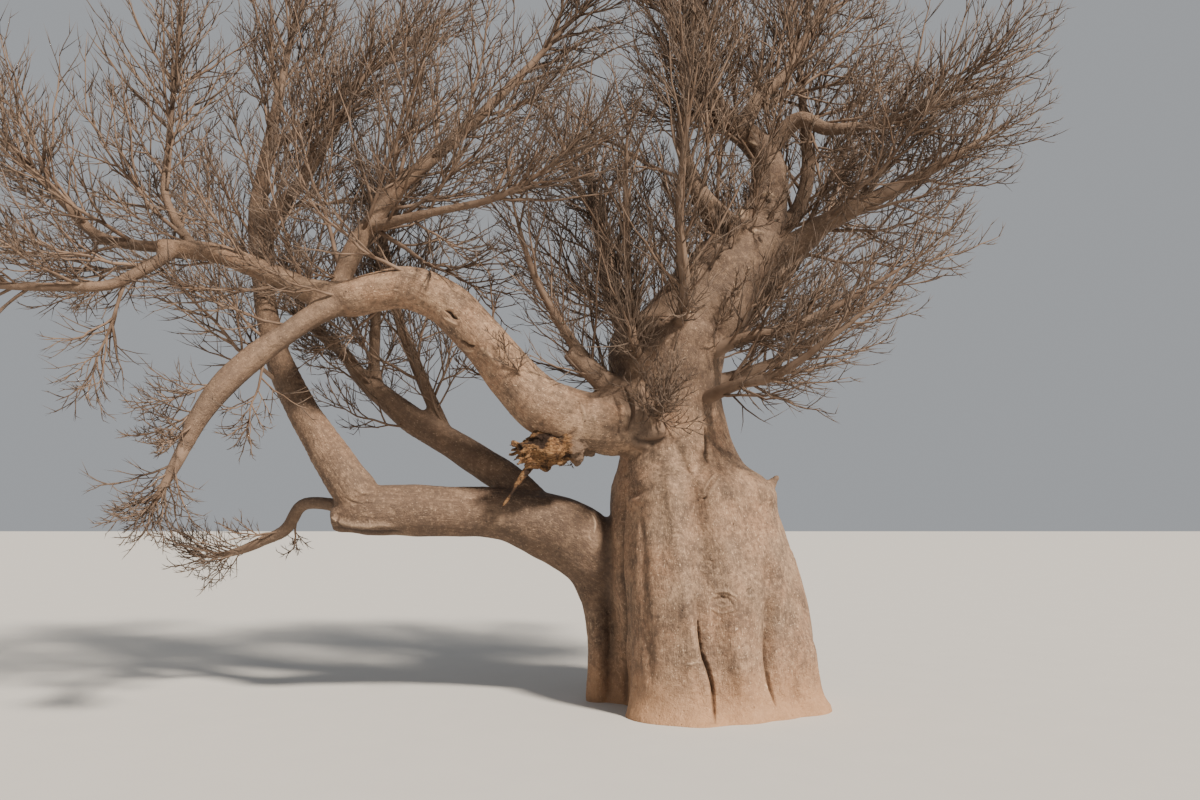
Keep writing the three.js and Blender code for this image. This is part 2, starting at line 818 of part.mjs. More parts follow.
// Grows one mass: its stem, and the shoots that have room and would touch no limb and no other mass.
function growMass(mass, own, curves, stems, stemSolids, obstacles) {
  const fits = (shoot) => hasRoom(shoot, own, stems) && !touches(shoot.solid, obstacles);
  const buildFirst = (n) => {
    const shoot = shootOn(curves[own], SEED + own, n, SHOOTS_ON_STEM, mass.reach, SHOOT_SLENDERNESS);
    return { ...shoot, solid: shootSolid(shoot, 3, 2) };
  };
  const solids = [stemSolids[own]];
  const firsts = shootsWithRoom(SOLID_SHOOTS, SHOOTS_ON_STEM, STEM_STRIDE, buildFirst, fits);
  firsts.forEach((first) => {
    const line = new THREE.QuadraticBezierCurve3(first.root, first.middle, first.tip);
    const buildSecond = (m) => {
      const length = first.size * SECOND_SHARE;
      const shoot = shootOn(line, first.key, m, SHOOTS_ON_SHOOT, length, SECOND_SLENDERNESS);
      return { ...shoot, solid: shootSolid(shoot, 3, 1) };
    };
    const seconds = shootsWithRoom(SOLID_SECONDS, SHOOTS_ON_SHOOT, SHOOT_STRIDE, buildSecond, fits);
    solids.push(first.solid, ...seconds.map((second) => second.solid));
  });
  return largestPiece(joined(solids));
}

function addMasses() {
  const curves = MASSES.map(stemLine);
  const stems = curves.map(sampled);
  const limbCutters = placed.map((other) => other.cutter ?? other.solid);
  const stemSolids = MASSES.map((mass, own) => {
    const stem = limb(curves[own], 0, 1, STEM_SIDES, STEM_STEPS);
    return mass.path ? apart(stem, limbCutters) : stem;
  });
  const grown = [];
  MASSES.forEach((mass, own) => {
    const obstacles = [...limbCutters, ...grown, ...stemSolids.filter((_, i) => i !== own)];
    grown.push(growMass(mass, own, curves, stems, stemSolids, obstacles));
    placed.push({ name: mass.name, solid: grown[own], isMass: true });
  });
}

// Materials and the tree itself

const bark = new THREE.MeshStandardMaterial({ color: 0x9a8478, roughness: 0.85, metalness: 0 });
const tornWood = new THREE.MeshStandardMaterial({ color: 0xb98a55, roughness: 0.9, metalness: 0 });
const twigBark = new THREE.MeshStandardMaterial({ color: 0x7b685c, roughness: 0.9, metalness: 0 });

function meshOf({ name, solid, isMass }) {
  const { numVert, numProp, vertProperties, triVerts } = solid.getMesh();
  const corners = new Float32Array(numVert * 3);
  for (let i = 0; i < numVert; i++) corners.set(vertProperties.subarray(i * numProp, i * numProp + 3), i * 3);
  const geometry = new THREE.BufferGeometry();
  geometry.setAttribute("position", new THREE.BufferAttribute(corners, 3));
  geometry.setIndex(new THREE.BufferAttribute(triVerts, 1));
  geometry.computeVertexNormals();
  const mesh = new THREE.Mesh(geometry, isMass ? twigBark : name === "torn_stub" ? tornWood : bark);
  mesh.name = name;
  return mesh;
}

BOUGHS.forEach(addBough);
addTornStub();
addMasses();

const baobab = new THREE.Group();
baobab.name = "baobab_tree";
baobab.add(...placed.map(meshOf));

export default baobab;
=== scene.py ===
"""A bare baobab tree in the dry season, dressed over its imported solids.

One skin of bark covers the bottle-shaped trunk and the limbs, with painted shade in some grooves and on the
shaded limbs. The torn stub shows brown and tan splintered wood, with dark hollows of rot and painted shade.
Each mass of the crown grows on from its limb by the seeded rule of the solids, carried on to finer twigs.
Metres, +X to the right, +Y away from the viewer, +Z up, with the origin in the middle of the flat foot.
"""

import math
from itertools import product

import bmesh
import bpy
import numpy as np
from bpy.props import FloatProperty, FloatVectorProperty, IntProperty, PointerProperty
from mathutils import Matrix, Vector
from mathutils.bvhtree import BVHTree
from mathutils.kdtree import KDTree


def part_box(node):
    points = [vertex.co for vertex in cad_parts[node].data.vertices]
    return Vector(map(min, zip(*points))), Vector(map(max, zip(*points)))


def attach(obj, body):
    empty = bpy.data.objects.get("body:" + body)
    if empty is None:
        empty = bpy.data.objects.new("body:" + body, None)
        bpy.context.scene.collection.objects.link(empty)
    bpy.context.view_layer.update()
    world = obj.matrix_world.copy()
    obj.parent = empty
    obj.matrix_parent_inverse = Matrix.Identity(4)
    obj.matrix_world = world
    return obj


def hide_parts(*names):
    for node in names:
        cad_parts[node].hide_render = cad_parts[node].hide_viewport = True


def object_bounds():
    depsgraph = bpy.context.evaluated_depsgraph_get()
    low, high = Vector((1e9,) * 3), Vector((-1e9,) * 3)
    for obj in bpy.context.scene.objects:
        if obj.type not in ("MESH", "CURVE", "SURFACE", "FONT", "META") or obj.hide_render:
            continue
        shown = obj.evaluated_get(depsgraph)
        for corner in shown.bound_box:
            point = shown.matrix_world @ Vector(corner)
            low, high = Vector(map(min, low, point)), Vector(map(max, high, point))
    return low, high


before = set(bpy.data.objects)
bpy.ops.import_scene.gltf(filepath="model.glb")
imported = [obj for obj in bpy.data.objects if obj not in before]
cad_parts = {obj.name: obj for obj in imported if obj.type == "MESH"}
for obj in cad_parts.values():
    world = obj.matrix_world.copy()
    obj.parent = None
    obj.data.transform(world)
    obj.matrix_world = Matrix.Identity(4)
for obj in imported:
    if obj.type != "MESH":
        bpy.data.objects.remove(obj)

bl_info = {
    "name": "Baobab tree",
    "version": (1, 0, 0),
    "blender": (4, 5, 0),
    "location": "3D View > Sidebar > Baobab",
    "description": "Bark, torn wood and twigs of a bare baobab tree",
    "category": "Add Mesh",
}

CAD_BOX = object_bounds()
UP = np.array((0.0, 0.0, 1.0))
BACK = np.array((0.0, 1.0, 0.0))
STEEP = 0.8  # a direction with more than this much of UP or BACK in it is turned by the other one
END = np.array([1.0])
START = np.array([0.0])
NEARLY_NOTHING = 1e-12

# The numbers of the mixing that turns two keys into a chance, as in the solids
WORD = 0xFFFFFFFF
KEY_FACTOR = 0x9E3779B1
SALT_FACTOR = 0x85EBCA77
MIXING_ROUNDS = ((15, 0x2C1B3C6D), (12, 0x297A2D39))
LAST_SHIFT = 15
CELL_FACTORS = (73856093, 19349663, 83492791)  # turn a cell of the soft noise into one key

# Salts that keep the chances of different parts apart
LIMB_SALT_STEP = 3
STRUT_SALT = 90
SNAG_SALT = 95
STEM_SALT = 200
STUB_SALT = 70
SPLINTER_SALT = 600
LUMP_SALT = 640
WILD_SALT = 500
SPLINTER_KEY = 9000
LONG_SPLINTER_KEY = 9500

# Trunk: height of a section, how far its middle leans to the right, and its outer radius
TRUNK_SECTIONS = (
    (0.00, 0.010, 1.520),
    (0.25, 0.000, 1.450),
    (0.80, -0.010, 1.420),
    (1.40, -0.020, 1.420),
    (2.00, -0.095, 1.290),
    (2.50, -0.160, 1.140),
    (2.85, -0.180, 1.080),
    (3.15, -0.330, 0.860),
    (3.45, -0.385, 0.750),
    (3.80, -0.440, 0.715),
    (4.20, -0.520, 0.740),
    (4.60, -0.520, 0.800),
    (4.95, -0.450, 0.790),
    (5.20, -0.380, 0.590),
    (5.33, -0.340, 0.280),
)
TRUNK_TOP = TRUNK_SECTIONS[-1][0]
FOOT_RADIUS = TRUNK_SECTIONS[0][2]
FLUTE_DEPTH = 0.45
FLUTE_TOP = 2.9
FLUTE_FADE = 1.5
BURIED = 0.12  # how far the raw shapes go on below the ground before the flat cut

# The columns that the trunk is fused from: angle round it, how far the foot stands out, radius and top
COLUMNS = (
    (-122, 0.09, 0.52, 4.20),
    (-77, -0.06, 0.40, 1.75),
    (-26, 0.06, 0.47, 1.50),
    (24, 0.03, 0.48, 2.40),
    (68, -0.02, 0.47, 2.10),
    (114, 0.04, 0.50, 3.00),
    (162, -0.04, 0.48, 2.90),
)
# Flatter columns of the skin, between the ones above, which leave only narrow grooves where columns meet
FILLING_COLUMNS = (
    (-112, 0.06, 0.44, 3.30),
    (-94, -0.10, 0.42, 1.70),
    (-52, -0.11, 0.42, 1.60),
    (-4, -0.02, 0.46, 1.90),
    (46, -0.08, 0.44, 1.90),
    (91, -0.08, 0.44, 2.20),
    (138, -0.07, 0.44, 2.40),
)
COLUMN_BLEND = 26  # the higher, the sharper the grooves between the columns
COLUMN_FADE = 0.45  # the share of its top's height where a column starts to sink into the trunk
TRUNK_SIDES = 220
TRUNK_STEPS = 130
COLLAR_CENTRE = (-0.83, -0.43, 3.69)
COLLAR_RADII = (0.40, 0.36, 0.33)
STRUT = (
    (-1.43, 0.15, -0.12, 0.190),
    (-1.44, 0.13, 0.50, 0.160),
    (-1.45, 0.12, 1.00, 0.160),
    (-1.45, 0.11, 1.45, 0.190),
    (-1.40, 0.11, 1.90, 0.220),
)

# How the foot spreads over the ground: everywhere a little, and furthest in one toe of the front column
FOOT_SPREAD = 0.05
FOOT_RISE = 0.16
TOE_SPREAD = 0.17
TOE_ANGLE = -97
TOE_WIDTH = 9

# Small forms of the skin: the web between bough and strut, a broken horn on the shoulder, and a snag
SNAGS = (
    (
        (-2.00, 0.10, 2.10, 0.260), (-1.66, 0.12, 1.72, 0.220), (-1.53, 0.12, 1.30, 0.150),
        (-1.48, 0.12, 0.80, 0.120),
    ),
    (
        (0.60, -0.24, 2.60, 0.150), (0.79, -0.25, 2.80, 0.095), (0.90, -0.26, 2.93, 0.050),
        (0.95, -0.26, 2.99, 0.024),
    ),
    ((-1.16, -0.48, 3.92, 0.130), (-1.45, -0.66, 4.20, 0.110), (-1.84, -0.92, 4.54, 0.082)),
)
# Knobs round the collar, as centre and radii
KNOBS = (
    ((-1.06, -0.70, 3.62), (0.15, 0.13, 0.14)),
    ((-1.17, -0.62, 3.86), (0.15, 0.13, 0.16)),
    ((-0.98, -0.66, 4.02), (0.17, 0.14, 0.15)),
    ((-0.80, -0.78, 3.76), (0.18, 0.13, 0.13)),
    ((-0.70, -0.74, 3.50), (0.16, 0.10, 0.12)),
    ((-0.93, -0.74, 3.42), (0.13, 0.10, 0.12)),
)

# Limbs, as waypoints (right, back, up, radius), on the piece of skin that each belongs to
WEST_LIMBS = {
    "arch": (
        (-0.50, -0.15, 3.60, 0.400), (-1.43, -0.55, 3.65, 0.382), (-2.11, -0.75, 3.84, 0.389),
        (-2.53, -0.85, 4.20, 0.323), (-2.98, -0.95, 4.73, 0.296), (-3.43, -1.00, 5.18, 0.284),
        (-3.88, -1.05, 5.36, 0.270), (-4.31, -1.10, 5.31, 0.256), (-4.70, -1.10, 5.21, 0.235),
        (-5.13, -1.15, 5.30, 0.166), (-5.44, -1.20, 5.42, 0.153), (-5.86, -1.30, 5.60, 0.133),
        (-6.27, -1.40, 5.73, 0.126), (-6.86, -1.50, 5.77, 0.112),
    ),
    "arch_drop": (
        (-4.56, -1.11, 5.25, 0.170), (-5.03, -1.25, 4.97, 0.150), (-5.35, -1.40, 4.68, 0.137),
        (-5.64, -1.50, 4.43, 0.148), (-5.96, -1.70, 4.03, 0.145), (-6.20, -1.80, 3.63, 0.113),
        (-6.34, -1.90, 3.22, 0.082),
    ),
    "arch_riser": (
        (-4.85, -1.03, 5.23, 0.130), (-4.70, -0.80, 5.87, 0.132), (-4.47, -0.70, 6.34, 0.120),
        (-4.17, -0.55, 6.86, 0.108), (-3.82, -0.50, 7.20, 0.095), (-3.34, -0.30, 7.75, 0.083),
        (-2.92, -0.20, 8.23, 0.070),
    ),
    "arch_side": (
        (-4.53, -0.73, 6.22, 0.067), (-4.14, -1.00, 6.25, 0.072), (-3.66, -1.20, 6.30, 0.058),
        (-3.04, -1.40, 6.36, 0.051),
    ),
    "west_low": (
        (-6.70, -1.48, 5.76, 0.085), (-7.06, -1.70, 5.41, 0.079), (-7.37, -1.90, 5.19, 0.066),
        (-7.80, -2.10, 5.13, 0.059),
    ),
    "west_up": (
        (-6.60, -1.44, 5.77, 0.078), (-7.36, -1.33, 5.86, 0.075), (-7.85, -1.25, 6.01, 0.070),
        (-8.29, -1.20, 6.42, 0.058),
    ),
    "west_rise": (
        (-6.48, -1.42, 5.75, 0.063), (-6.85, -1.15, 6.15, 0.058), (-7.12, -1.00, 6.65, 0.052),
        (-7.15, -0.90, 7.13, 0.046),
    ),
    "level_bough": (
        (-0.80, 0.24, 1.64, 0.430), (-1.30, 0.17, 1.84, 0.480), (-1.77, 0.12, 2.13, 0.490),
        (-2.18, 0.05, 2.33, 0.435), (-2.78, -0.05, 2.48, 0.351), (-3.45, -0.15, 2.51, 0.335),
        (-4.10, -0.22, 2.53, 0.334), (-4.55, -0.30, 2.51, 0.318), (-4.88, -0.30, 2.43, 0.199),
    ),
    "elbow": (
        (-4.43, -0.30, 2.45, 0.290), (-4.83, -0.30, 2.96, 0.272), (-5.14, -0.20, 3.40, 0.243),
        (-5.49, -0.10, 3.89, 0.204), (-5.81, 0.10, 4.41, 0.188), (-6.07, 0.30, 4.93, 0.170),
        (-6.29, 0.50, 5.70, 0.159), (-6.39, 0.60, 6.47, 0.176), (-6.49, 0.70, 7.03, 0.133),
        (-6.44, 0.80, 7.74, 0.105), (-6.34, 0.80, 8.38, 0.083),
    ),
    "mast_side": (
        (-6.39, 0.60, 6.50, 0.102), (-6.09, 0.50, 6.96, 0.102), (-5.75, 0.40, 7.28, 0.080),
        (-5.47, 0.30, 7.69, 0.065),
    ),
    "mast_high": (
        (-6.40, 0.80, 8.01, 0.072), (-6.08, 0.95, 8.19, 0.072), (-5.72, 1.05, 8.65, 0.062),
        (-5.25, 1.15, 9.10, 0.050),
    ),
    "elbow_low": (
        (-4.74, -0.20, 2.54, 0.100), (-5.26, 0.10, 2.63, 0.089), (-5.59, 0.30, 2.58, 0.083),
        (-5.82, 0.40, 2.26, 0.084), (-6.22, 0.50, 2.08, 0.070),
    ),
    "slant_bough": (
        (-2.15, 0.06, 2.40, 0.232), (-2.61, 0.20, 2.88, 0.228), (-3.08, 0.30, 3.19, 0.223),
        (-3.54, 0.40, 3.48, 0.197), (-4.09, 0.50, 3.81, 0.185), (-4.52, 0.60, 4.14, 0.158),
        (-4.88, 0.70, 4.44, 0.123), (-5.14, 0.70, 4.78, 0.087), (-5.47, 0.70, 5.06, 0.080),
    ),
    "slant_post": (
        (-4.56, 0.61, 4.17, 0.090), (-4.70, 0.70, 4.56, 0.080), (-4.71, 0.70, 5.12, 0.080),
        (-4.70, 0.70, 5.60, 0.073),
    ),
    "slant_rise": (
        (-3.56, 0.40, 3.49, 0.110), (-3.96, 0.60, 4.33, 0.093), (-4.16, 0.70, 4.78, 0.087),
        (-4.40, 0.80, 5.36, 0.074), (-4.59, 0.90, 6.22, 0.060),
    ),
}
HEAD_LIMBS = {
    "leader": (
        (-0.33, 0.00, 4.90, 0.640), (0.00, 0.00, 5.32, 0.640), (0.36, 0.05, 5.81, 0.570),
        (0.71, 0.10, 6.30, 0.440), (0.93, 0.15, 6.85, 0.299), (0.96, 0.15, 7.44, 0.240),
        (0.74, 0.10, 7.78, 0.205), (0.33, 0.00, 8.07, 0.171), (0.10, -0.10, 8.38, 0.142),
        (0.03, -0.10, 8.72, 0.107), (-0.16, -0.20, 9.00, 0.099),
    ),
    "inner_riser": (
        (0.64, 0.06, 6.22, 0.215), (0.24, -0.15, 6.52, 0.200), (-0.06, -0.34, 6.85, 0.135),
        (-0.25, -0.45, 7.25, 0.095), (-0.31, -0.50, 7.64, 0.082), (-0.26, -0.60, 8.11, 0.075),
    ),
    "east_riser": (
        (0.85, 0.15, 6.35, 0.150), (1.42, 0.48, 6.85, 0.117), (1.66, 0.70, 7.53, 0.104),
        (1.65, 0.80, 8.15, 0.083),
    ),
    "east_bough": (
        (0.42, 0.08, 5.80, 0.230), (1.28, -0.10, 6.20, 0.185), (1.62, -0.30, 6.42, 0.137),
        (1.98, -0.50, 6.57, 0.115), (2.35, -0.60, 6.73, 0.101),
    ),
    "east_upper": (
        (0.90, 0.13, 7.56, 0.130), (1.35, -0.10, 8.00, 0.113), (1.73, -0.30, 7.79, 0.090),
        (2.13, -0.50, 7.75, 0.068),
    ),
    "crown_east": (
        (0.56, 0.07, 7.90, 0.125), (0.90, 0.30, 8.51, 0.109), (1.33, 0.50, 8.98, 0.089),
        (1.55, 0.60, 9.39, 0.075),
    ),
    "back_left": (
        (-0.56, 0.30, 4.52, 0.300), (-0.90, 1.05, 5.15, 0.240), (-1.25, 1.65, 6.00, 0.180),
        (-1.42, 2.10, 7.00, 0.110),
    ),
    "back_right": (
        (-0.33, 0.30, 4.60, 0.300), (0.45, 1.00, 5.20, 0.240), (1.20, 1.65, 5.95, 0.170),
        (1.90, 2.20, 6.80, 0.105),
    ),
}
# The solids that a limb of more than one piece stands for
LIMB_NODES = {
    "arch": ("arch_rise", "arch_crown", "arch_reach"),
    "elbow": ("elbow_rise", "elbow_mast"),
    "leader": ("leader", "leader_top"),
}
LIMB_RUN_ON = 0.09  # how far a limb's skin goes on over the foot of its stem
LIMB_END_SHARE = 0.86  # how much of the limb's radius is left there
LIMB_STEP = 0.07
LEAST_LIMB_STEPS = 12
POLE = 0.999  # how near to its poles a ball's first and last rings lie

# Lumps of the limbs: how much of the unevenness comes from lumps of each size, and the girths they grow with
LIMB_LUMPS = ((1.0, 0.62), (0.6, 0.27))
LUMPY_GIRTHS = (0.06, 1.0)

# The part of a mass's stem that the skin covers: down to this radius, and up to this share
SKIN_LEAST_RADIUS = 0.042
SKIN_STEM_SHARE = 0.6

# Smoothing of the skin: one step in and one out, then a fillet where it is creased
SMOOTH_IN = 0.62
SMOOTH_OUT = -0.65
CREASE_DEPTH = 0.12
CREASE_SLACK = 0.5
CREASE_FLOOR = 1.3  # no fillet below this height
CREASE_ROUNDS = 14
CREASE_SPREAD = 0.8
CREASE_PULL = 1.6

# Grain: samples on each limb, and how much thicker and nearer a limb must be to swallow another's sample
GRAIN_SAMPLES = 160
GRAIN_THICKER = 1.15
GRAIN_INSIDE = 0.95
GRAIN_SHIFT = 7.0  # sets the grain of each limb apart from the next one's
ON_TRUNK = -1
TRUNK_SLACK = 0.05
TRUNK_CROWN = 0.25
TRUNK_GIRTH = 0.7
ALL_TRUNK = 1.25  # everything below this height is trunk
MEETING_ROUNDS = 12
MEETING_FULL = 0.7

# How dark the bark of each limb is made, by weather wear and painted shade, and how dark the neck above the
# shoulders is made, by weather wear and painted shade
WEATHERED_AND_SHADED = {
    "arch": 0.0, "arch_side": 0.3, "arch_riser": 0.3, "level_bough": 0.85, "slant_bough": 0.8, "elbow": 0.55,
    "leader": 1.0,
}
WEATHERED_AND_SHADED_REST = 0.7
WEATHERED_AND_SHADED_NECK = 0.95
WEATHER_AND_SHADE_ROUNDS = 30
NECK = (3.3, 4.4)

# Relief of the bark: height, how much it is stretched along the limb, size of its lumps, and salt
RELIEF = (
    (0.020, 1.0, 0.58, 11),
    (0.009, 1.0, 0.22, 12),
    (0.010, 0.16, 0.17, 13),
    (0.0035, 0.6, 0.075, 14),
)

# Folds across the limbs, and the noise that bends them: its part, the size of its lumps, and salt
FOLD_LENGTH = 0.105
FOLD_HEIGHT = 0.008
FOLD_WARP = ((1.0, 0.40, 15), (0.4, 0.13, 16))
FOLD_SWAY = 0.9
FOLD_SHOWS = (0.05, 0.55)
FOLD_STRETCH = 0.7
FOLD_PATCH = 0.95
FOLD_SALT = 17
RELIEF_GIRTH = 0.42  # the relief is whole on limbs of this girth, and shallower on thinner ones
RELIEF_LEAST = 0.16
GROUND_FADE = 0.06
ON_GROUND = 1e-4

# Pits and scars all round the tree: how many are dealt out, between which heights, and the share of pits
WILD_MARKS = 200
WILD_HEIGHTS = (0.15, 6.5)
PIT_SHARE = 0.70
PIT_DEPTH = -0.014
PIT_LENGTH = 0.006
PIT_TINT = 0.7
SCAR_DEPTH = -0.008
SCAR_TILT = 1.2
SCAR_TINT = 0.2
SCAR_LIP = (0.005, 0.014, -0.15)
LIP_DROP = 0.03

# Their sizes, each as the least value and how much chance adds to it
PIT_WIDTH = (0.009, 0.005)
SCAR_HALF = (0.02, 0.04)
SCAR_BOW = (0.3, 0.5)
SCAR_WIDTH = (0.011, 0.005)

# How a mark thins and fades towards its ends, and how many widths it reaches to the side
MARK_TAPER = 0.55
MARK_FADE = 0.5
MARK_REACH = 3
NEAR_MARK = 2.2
UNDER_MARK = 1.6
FINE_WIDTH = 0.03  # marks narrower than this get a finer mesh under them
FINE_MARGINS = (0.035, 0.02)

# Where the skin is cut into pieces, and where its rim counts as lying on the ground
FOOT_TOP = 1.7
RIM_HEIGHT = 1e-3

# The torn stub: its path, and the splinters that its end has split into, as tip and radius
TORN_STUB = (
    (-1.56, -0.60, 3.56, 0.250),
    (-1.90, -0.74, 3.37, 0.215),
    (-2.18, -0.83, 3.30, 0.180),
    (-2.42, -0.88, 3.26, 0.110),
)
LONG_SPLINTER = (-2.70, -0.95, 2.52)
BARK_ENDS = (-1.98, -1.62)  # the stretch to the right over which its wood gives way to bark
SPLINTER_CALM = (2.95, 3.12)  # the heights over which the hanging splinter gives way to rough wood

# Noise of the torn wood for its fibres, terraces and hollows: stretch along the stub, size, and salt
TORN_NOISE = ((0.25, 0.026, 80), (0.5, 0.075, 81), (0.6, 0.10, 82))
TERRACES = 2.5
LEAST_DIP = 0.10
RIDGE_HEIGHT = 0.020
TERRACE_HEIGHT = 0.026
HOLLOW_DEPTH = 0.09

# Its lumps and splinters, each as the least value and how much chance adds to it
LUMP_PLACE = (0.10, 0.88)
LUMP_OUT = (0.75, 0.3)
LUMP_SIZE = (0.03, 0.05)
SPLINTER_PLACE = (0.35, 0.63)
SPLINTER_OUT = (0.35, 0.4)
SPLINTER_LENGTH = (0.12, 0.20)
SPLINTER_ONWARD = (0.6, 0.7)
SPLINTER_ASIDE = (0.2, 0.7)
SPLINTER_RADIUS = (0.022, 0.026)

# Crown masses that go on from a limb's tip: limb, how far the stem goes on, its lift and its shoots' length
TIP_MASSES = {
    "crown_top_twigs": ("leader", 1.90, 0.40, 2.00),
    "crown_east_twigs": ("crown_east", 1.70, 0.00, 2.00),
    "east_upper_twigs": ("east_upper", 1.70, 0.45, 1.90),
    "east_riser_twigs": ("east_riser", 1.80, 0.10, 1.90),
    "east_bough_twigs": ("east_bough", 1.60, 0.10, 1.50),
    "inner_riser_twigs": ("inner_riser", 1.90, 0.10, 1.70),
    "back_left_twigs": ("back_left", 1.90, 0.00, 1.90),
    "back_right_twigs": ("back_right", 1.90, 0.10, 1.90),
    "arch_riser_twigs": ("arch_riser", 2.10, 0.10, 1.90),
    "arch_side_twigs": ("arch_side", 1.50, 0.40, 1.50),
    "west_low_twigs": ("west_low", 1.70, 0.15, 1.50),
    "west_up_twigs": ("west_up", 1.80, 0.10, 1.70),
    "west_rise_twigs": ("west_rise", 1.90, 0.10, 1.80),
    "arch_drop_twigs": ("arch_drop", 0.90, 0.10, 1.00),
    "mast_top_twigs": ("elbow", 1.90, 0.00, 1.90),
    "mast_side_twigs": ("mast_side", 1.50, 0.10, 1.60),
    "mast_high_twigs": ("mast_high", 1.70, 0.00, 1.70),
    "elbow_low_twigs": ("elbow_low", 1.00, 0.20, 1.00),
    "slant_tip_twigs": ("slant_bough", 0.75, 0.60, 1.00),
    "slant_post_twigs": ("slant_post", 1.30, 0.00, 1.20),
    "slant_rise_twigs": ("slant_rise", 1.40, 0.00, 1.30),
}
# Crown masses whose stems leave the trunk: the length of their shoots and the stem's waypoints
TRUNK_MASSES = {
    "collar_twigs": (1.50, (
        (-1.00, -0.42, 4.15, 0.120), (-1.43, -0.70, 4.29, 0.100), (-1.87, -0.90, 4.80, 0.065),
        (-2.31, -1.10, 5.61, 0.045), (-2.62, -1.25, 6.70, 0.022),
    )),
    "post_twigs": (1.50, (
        (-0.76, -0.35, 4.25, 0.105), (-1.00, -0.95, 4.65, 0.070), (-1.06, -1.08, 5.25, 0.058),
        (-1.10, -1.18, 6.48, 0.042), (-1.08, -1.26, 7.60, 0.020),
    )),
    "shade_twigs": (1.70, (
        (-0.80, 0.10, 4.70, 0.130), (-1.25, 0.18, 5.38, 0.099), (-1.35, 0.30, 6.38, 0.072),
        (-1.79, 0.30, 7.27, 0.051), (-2.20, 0.35, 8.50, 0.022),
    )),
    "fan_low_twigs": (1.60, (
        (-0.30, -0.25, 3.88, 0.106), (0.28, -0.90, 4.11, 0.077), (0.77, -1.30, 4.20, 0.062),
        (1.37, -1.70, 4.60, 0.042), (2.50, -2.25, 5.50, 0.018),
    )),
    "fan_mid_twigs": (1.70, (
        (-0.25, -0.25, 4.45, 0.107), (0.38, -0.65, 4.75, 0.080), (0.88, -0.90, 4.83, 0.068),
        (1.60, -1.05, 5.12, 0.050), (3.00, -1.25, 5.95, 0.020),
    )),
    "front_twigs": (1.70, (
        (-0.45, -0.40, 4.75, 0.100), (-0.35, -1.15, 5.25, 0.075), (-0.45, -1.65, 6.05, 0.058),
        (-0.40, -2.05, 7.00, 0.040), (-0.25, -2.35, 7.90, 0.020),
    )),
    "back_low_twigs": (1.60, (
        (-0.45, 0.35, 3.95, 0.110), (-0.60, 1.25, 4.30, 0.080), (-0.50, 2.05, 4.90, 0.060),
        (-0.35, 2.85, 5.70, 0.022),
    )),
    "fan_back_twigs": (1.70, (
        (-0.20, 0.15, 4.25, 0.110), (0.65, 0.60, 4.50, 0.080), (1.50, 0.95, 4.90, 0.060),
        (2.70, 1.35, 5.70, 0.022),
    )),
    "broom_twigs": (0.90, (
        (-0.80, -0.50, 3.70, 0.060), (-0.70, -0.90, 3.76, 0.050), (-0.62, -1.15, 3.90, 0.020),
    )),
}

# Side boughs along the limbs: the stretch of the limb that they stand on, how many, and their length
SIDE_BOUGHS = {
    "collar_twigs": (("arch", 0.08, 0.46, 7, 0.6),),
    "front_twigs": (("leader", 0.05, 0.48, 12, 1.7),),
    "post_twigs": (("leader", 0.00, 0.34, 36, 0.7),),
    "crown_top_twigs": (("leader", 0.50, 1.0, 13, 2.5),),
    "crown_east_twigs": (("crown_east", 0.10, 1.0, 6, 2.4),),
    "east_upper_twigs": (("east_upper", 0.15, 1.0, 6, 2.2),),
    "east_riser_twigs": (("east_riser", 0.15, 1.0, 7, 2.2),),
    "east_bough_twigs": (("east_bough", 0.25, 1.0, 7, 2.4),),
    "inner_riser_twigs": (("inner_riser", 0.30, 1.0, 8, 2.2), ("inner_riser", 0.02, 0.24, 9, 0.8)),
    "back_left_twigs": (("back_left", 0.40, 1.0, 6, 2.4),),
    "back_right_twigs": (("back_right", 0.40, 1.0, 6, 2.4),),
    "arch_riser_twigs": (("arch_riser", 0.12, 1.0, 13, 2.4),),
    "arch_side_twigs": (("arch_side", 0.10, 1.0, 6, 2.0),),
    "west_low_twigs": (("west_low", 0.10, 1.0, 5, 1.9), ("arch", 0.46, 1.0, 11, 2.1)),
    "west_up_twigs": (("west_up", 0.10, 1.0, 6, 2.0),),
    "west_rise_twigs": (("west_rise", 0.10, 1.0, 5, 2.0),),
    "arch_drop_twigs": (("arch_drop", 0.30, 1.0, 5, 1.3),),
    "mast_top_twigs": (("elbow", 0.38, 1.0, 15, 2.4),),
    "mast_side_twigs": (("mast_side", 0.15, 1.0, 5, 2.1),),
    "mast_high_twigs": (("mast_high", 0.10, 1.0, 5, 2.1),),
    "elbow_low_twigs": (("elbow_low", 0.30, 1.0, 3, 1.0),),
    "slant_tip_twigs": (("slant_bough", 0.40, 1.0, 7, 1.7),),
    "slant_post_twigs": (("slant_post", 0.20, 1.0, 5, 1.4),),
    "slant_rise_twigs": (("slant_rise", 0.15, 1.0, 7, 1.8),),
}
# Short crowded twigs on the feet of the stems that leave the trunk: how many, and their length
CROWDED = {
    "shade_twigs": (70, 0.80),
    "post_twigs": (90, 0.75),
    "front_twigs": (60, 0.65),
    "collar_twigs": (40, 0.60),
    "fan_mid_twigs": (34, 0.60),
    "back_low_twigs": (20, 0.60),
}

